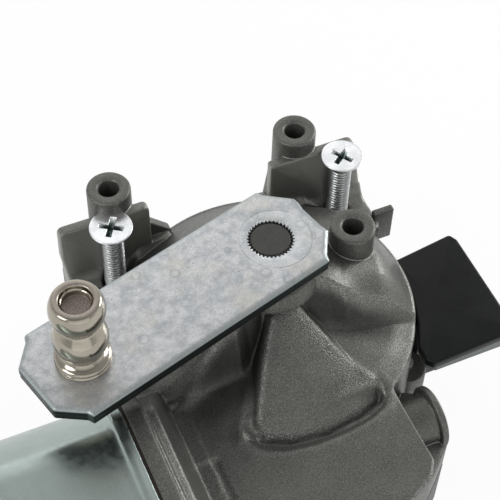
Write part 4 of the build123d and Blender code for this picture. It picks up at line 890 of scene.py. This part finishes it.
profile += [(bore - 0.1, boreFloor + 0.06), (bore - 0.35, boreFloor), (0.05, boreFloor)]
rings = turnedRings(profile, spot, 96)
dull = np.zeros(rings.shape[:2])
dull[polished - 1:polished + 2] = 0.45
dull[boreWall:] = 1
ballStud = ringMesh("doubleBallStud", rings, finishes["stud_nickel"], 40, {"dull": dull})
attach(ballStud, "crank")
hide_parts("ball_stud")
print("ball stud made:", len(ballStud.data.polygons), "faces")

# mounting screws with a cross recess
screw = {"headZ": -4.06, "headRadius": 5.6, "rim": 0.45, "shank": 3, "tipZ": -44.06, "pitch": 1, "threadDepth": 0.42,
         "armLength": 3.3, "armWidth": 0.78, "armEnd": 1.3, "armFlank": 4.5, "recess": 2.3, "turns": (57.5, 35)}


# Head, cone and threaded shank of a screw, its cross turned by so many degrees.
def screwRings(spot, crossAngle):
    s = screw
    angle, headZ, rimZ = fullTurn(112), s["headZ"], s["headZ"] - s["rim"]

    def spread(values):
        return np.array(values)[:, None] + 0 * angle

    rim = [4.6, 5, 5.35, 5.52, s["headRadius"], s["headRadius"], 5.5]
    r = spread(np.concatenate([np.linspace(0.06, 4.2, 40), rim]))
    bearing = angle - math.radians(crossAngle)
    u, v = np.abs(r * np.cos(bearing)), np.abs(r * np.sin(bearing))
    # sunk where either arm holds the point, with sloping ends and steep flanks
    arms = [np.minimum((s["armLength"] - a) * s["armEnd"], (s["armWidth"] - b) * s["armFlank"])
            for a, b in ((u, v), (v, u))]
    web = (s["armWidth"] * 1.5 - (u + v) / 1.414) * s["armFlank"]
    sunk = np.clip(np.maximum(np.maximum(*arms), web), 0, s["recess"])
    z = headZ - sunk
    z[-4:] = spread([headZ - 0.03, headZ - 0.12, rimZ + 0.08, rimZ]) - sunk[-4:]
    level = spread(np.linspace(rimZ - 0.1, rimZ - 2.5, 6))
    cone = s["headRadius"] - (rimZ - level)
    # a rounded saw that climbs one pitch a turn, fading in below the head
    thread = spread(np.linspace(rimZ - 2.8, s["tipZ"] + 0.9, 236))
    saw = 0.5 + 0.5 * np.cos(2 * math.pi * (thread / s["pitch"] - angle / (2 * math.pi)))
    fade = np.clip((headZ - 3.4 - thread) / 1, 0, 1)
    shank = s["shank"] - s["threadDepth"] * fade * saw
    tip, tipRadius = spread([s["tipZ"] + 0.3, s["tipZ"], s["tipZ"]]), spread([2.3, 2, 0.06])
    r = np.concatenate([r, cone, shank, tipRadius])
    first = len(z) + len(level)
    z = np.concatenate([z, level, thread, tip])
    # painted shade: dark in the cross recess, darker down the thread and most in its grooves
    recess, threadShade = np.zeros(r.shape), np.zeros(r.shape)
    recess[:len(sunk)] = np.clip((sunk - 0.25) / 1.1, 0, 1)
    threadShade[first:first + len(thread)] = 0.35 + 0.65 * fade * saw
    return polar(r, angle, z, spot), {"recess": recess, "thread": threadShade}


screws = []
for n, (spot, crossAngle) in enumerate(zip(screwSpots, screw["turns"])):
    rings, painted = screwRings(spot, crossAngle)
    screws.append(ringMesh(f"crossScrew{n}", rings, finishes["screw_zinc"], 50, painted))
mountingScrews = joined("mountingScrews", screws)
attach(mountingScrews, "motor")
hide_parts("mounting_screws")
print("screws made:", len(mountingScrews.data.polygons), "faces")


# floor, light and camera
studio = {"floorSize": 3, "floorGap": 0.0001, "floorTone": (0.92, 0.92, 0.92), "floorGlow": 0.94, "lowLevel": 0.95,
          "highLevel": 0.5, "lowTo": 0.15, "highFrom": 0.7, "frontLevel": 0.6, "frontFrom": 0.7,
          "viewerSide": (-0.42, -0.907, 0)}


def mixShader(mat, share, first, second):
    mix = addNode(mat, "ShaderNodeMixShader", Fac=share)
    feed(mat, mix.inputs[1], first)
    feed(mat, mix.inputs[2], second)
    return mix.outputs["Shader"]


# A surface mixed with plain white for camera, glossy and clear rays; the shadow stays.
def whiteToCamera(mat, surface, share):
    path = addNode(mat, "ShaderNodeLightPath").outputs
    anyRay = calculate(mat, "MAXIMUM", path["Is Camera Ray"],
                       calculate(mat, "MAXIMUM", path["Is Glossy Ray"], path["Is Transmission Ray"]))
    glow = addNode(mat, "ShaderNodeEmission", Color=(1, 1, 1), Strength=1)
    return mixShader(mat, times(mat, anyRay, share), surface, glow.outputs["Emission"])


half, floorZ = studio["floorSize"] / 2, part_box("motor_can")[0][2] - studio["floorGap"]
floorMesh = bpy.data.meshes.new("studioFloor")
floorMesh.from_pydata([(-half, -half, floorZ), (half, -half, floorZ), (half, half, floorZ), (-half, half, floorZ)], [],
                      [(0, 1, 2, 3)])
floor = placed("studioFloor", floorMesh)
floorMaterial = newMaterial("paleFloor")
diffuse = addNode(floorMaterial, "ShaderNodeBsdfDiffuse", Color=studio["floorTone"]).outputs["BSDF"]
# seen from below the floor is clear
clear = addNode(floorMaterial, "ShaderNodeBsdfTransparent").outputs["BSDF"]
fromBelow = addNode(floorMaterial, "ShaderNodeNewGeometry").outputs["Backfacing"]
lit = whiteToCamera(floorMaterial, diffuse, studio["floorGlow"])
addNode(floorMaterial, "ShaderNodeOutputMaterial", Surface=mixShader(floorMaterial, fromBelow, lit, clear))
floorMesh.materials.append(floorMaterial)

# backdrop: lowLevel up to lowTo, highLevel above highFrom, dimmed to frontLevel behind the viewer
world = bpy.data.worlds.new("studioWorld")
world.use_nodes = True
bpy.context.scene.world = world
outward = addNode(world, "ShaderNodeTexCoord").outputs["Generated"]
height = addNode(world, "ShaderNodeSeparateXYZ", Vector=outward).outputs["Z"]
level = mapRange(world, height, studio["lowTo"], studio["highFrom"], studio["lowLevel"], studio["highLevel"],
                 "SMOOTHSTEP")
toViewer = vectorMath(world, "DOT_PRODUCT", outward, studio["viewerSide"])
shade = mapRange(world, toViewer, 0, studio["frontFrom"], 1, studio["frontLevel"], "SMOOTHSTEP")
background = world.node_tree.nodes["Background"]
feed(world, background.inputs["Strength"], times(world, level, shade))
feed(world, background.inputs["Color"], (1, 1, 1))

lamps = {
    "softRight": {"at": (0.76, 0.14, 0.3), "size": 0.36, "power": 3.1},
    "softLeft": {"at": (-0.62, -0.12, 0.5), "size": 0.36, "power": 1.8},
    "softFront": {"at": (-0.2, -0.72, 0.2), "size": 1.1, "power": 2},
    "softBack": {"at": (0.1, 0.75, 0.6), "size": 0.75, "power": 1.3},
}
aim = Vector((-0.01, -0.01, -0.02))
for name, lamp in lamps.items():
    data = bpy.data.lights.new(name, "AREA")
    data.shape = "SQUARE"
    data.size = lamp["size"]
    data.energy = lamp["power"]
    place = Vector(lamp["at"])
    turn = (place - aim).to_track_quat("Z", "Y").to_matrix().to_4x4()
    placed(name, data).matrix_world = Matrix.Translation(place) @ turn

camera = {"at": (-0.092656, -0.188336, 0.272707), "azimuth": 24.85, "elevation": 52.1, "roll": 1.67, "halfImage": 250,
          "focalPixels": 1393.7, "nearest": 0.01}
cameraData = bpy.data.cameras.new("camera")
cameraData.angle = 2 * math.atan(camera["halfImage"] / camera["focalPixels"])
cameraData.clip_start = camera["nearest"]
cameraObject = placed("camera", cameraData)
turns = ((-camera["azimuth"], "Z"), (90 - camera["elevation"], "X"), (camera["roll"], "Z"))
pan, tilt, roll = (Matrix.Rotation(math.radians(angle), 4, axis) for angle, axis in turns)
cameraObject.matrix_world = Matrix.Translation(camera["at"]) @ pan @ tilt @ roll
bpy.context.scene.camera = cameraObject
bpy.context.scene.view_settings.view_transform = "Standard"
print("stage, lamps and camera set")
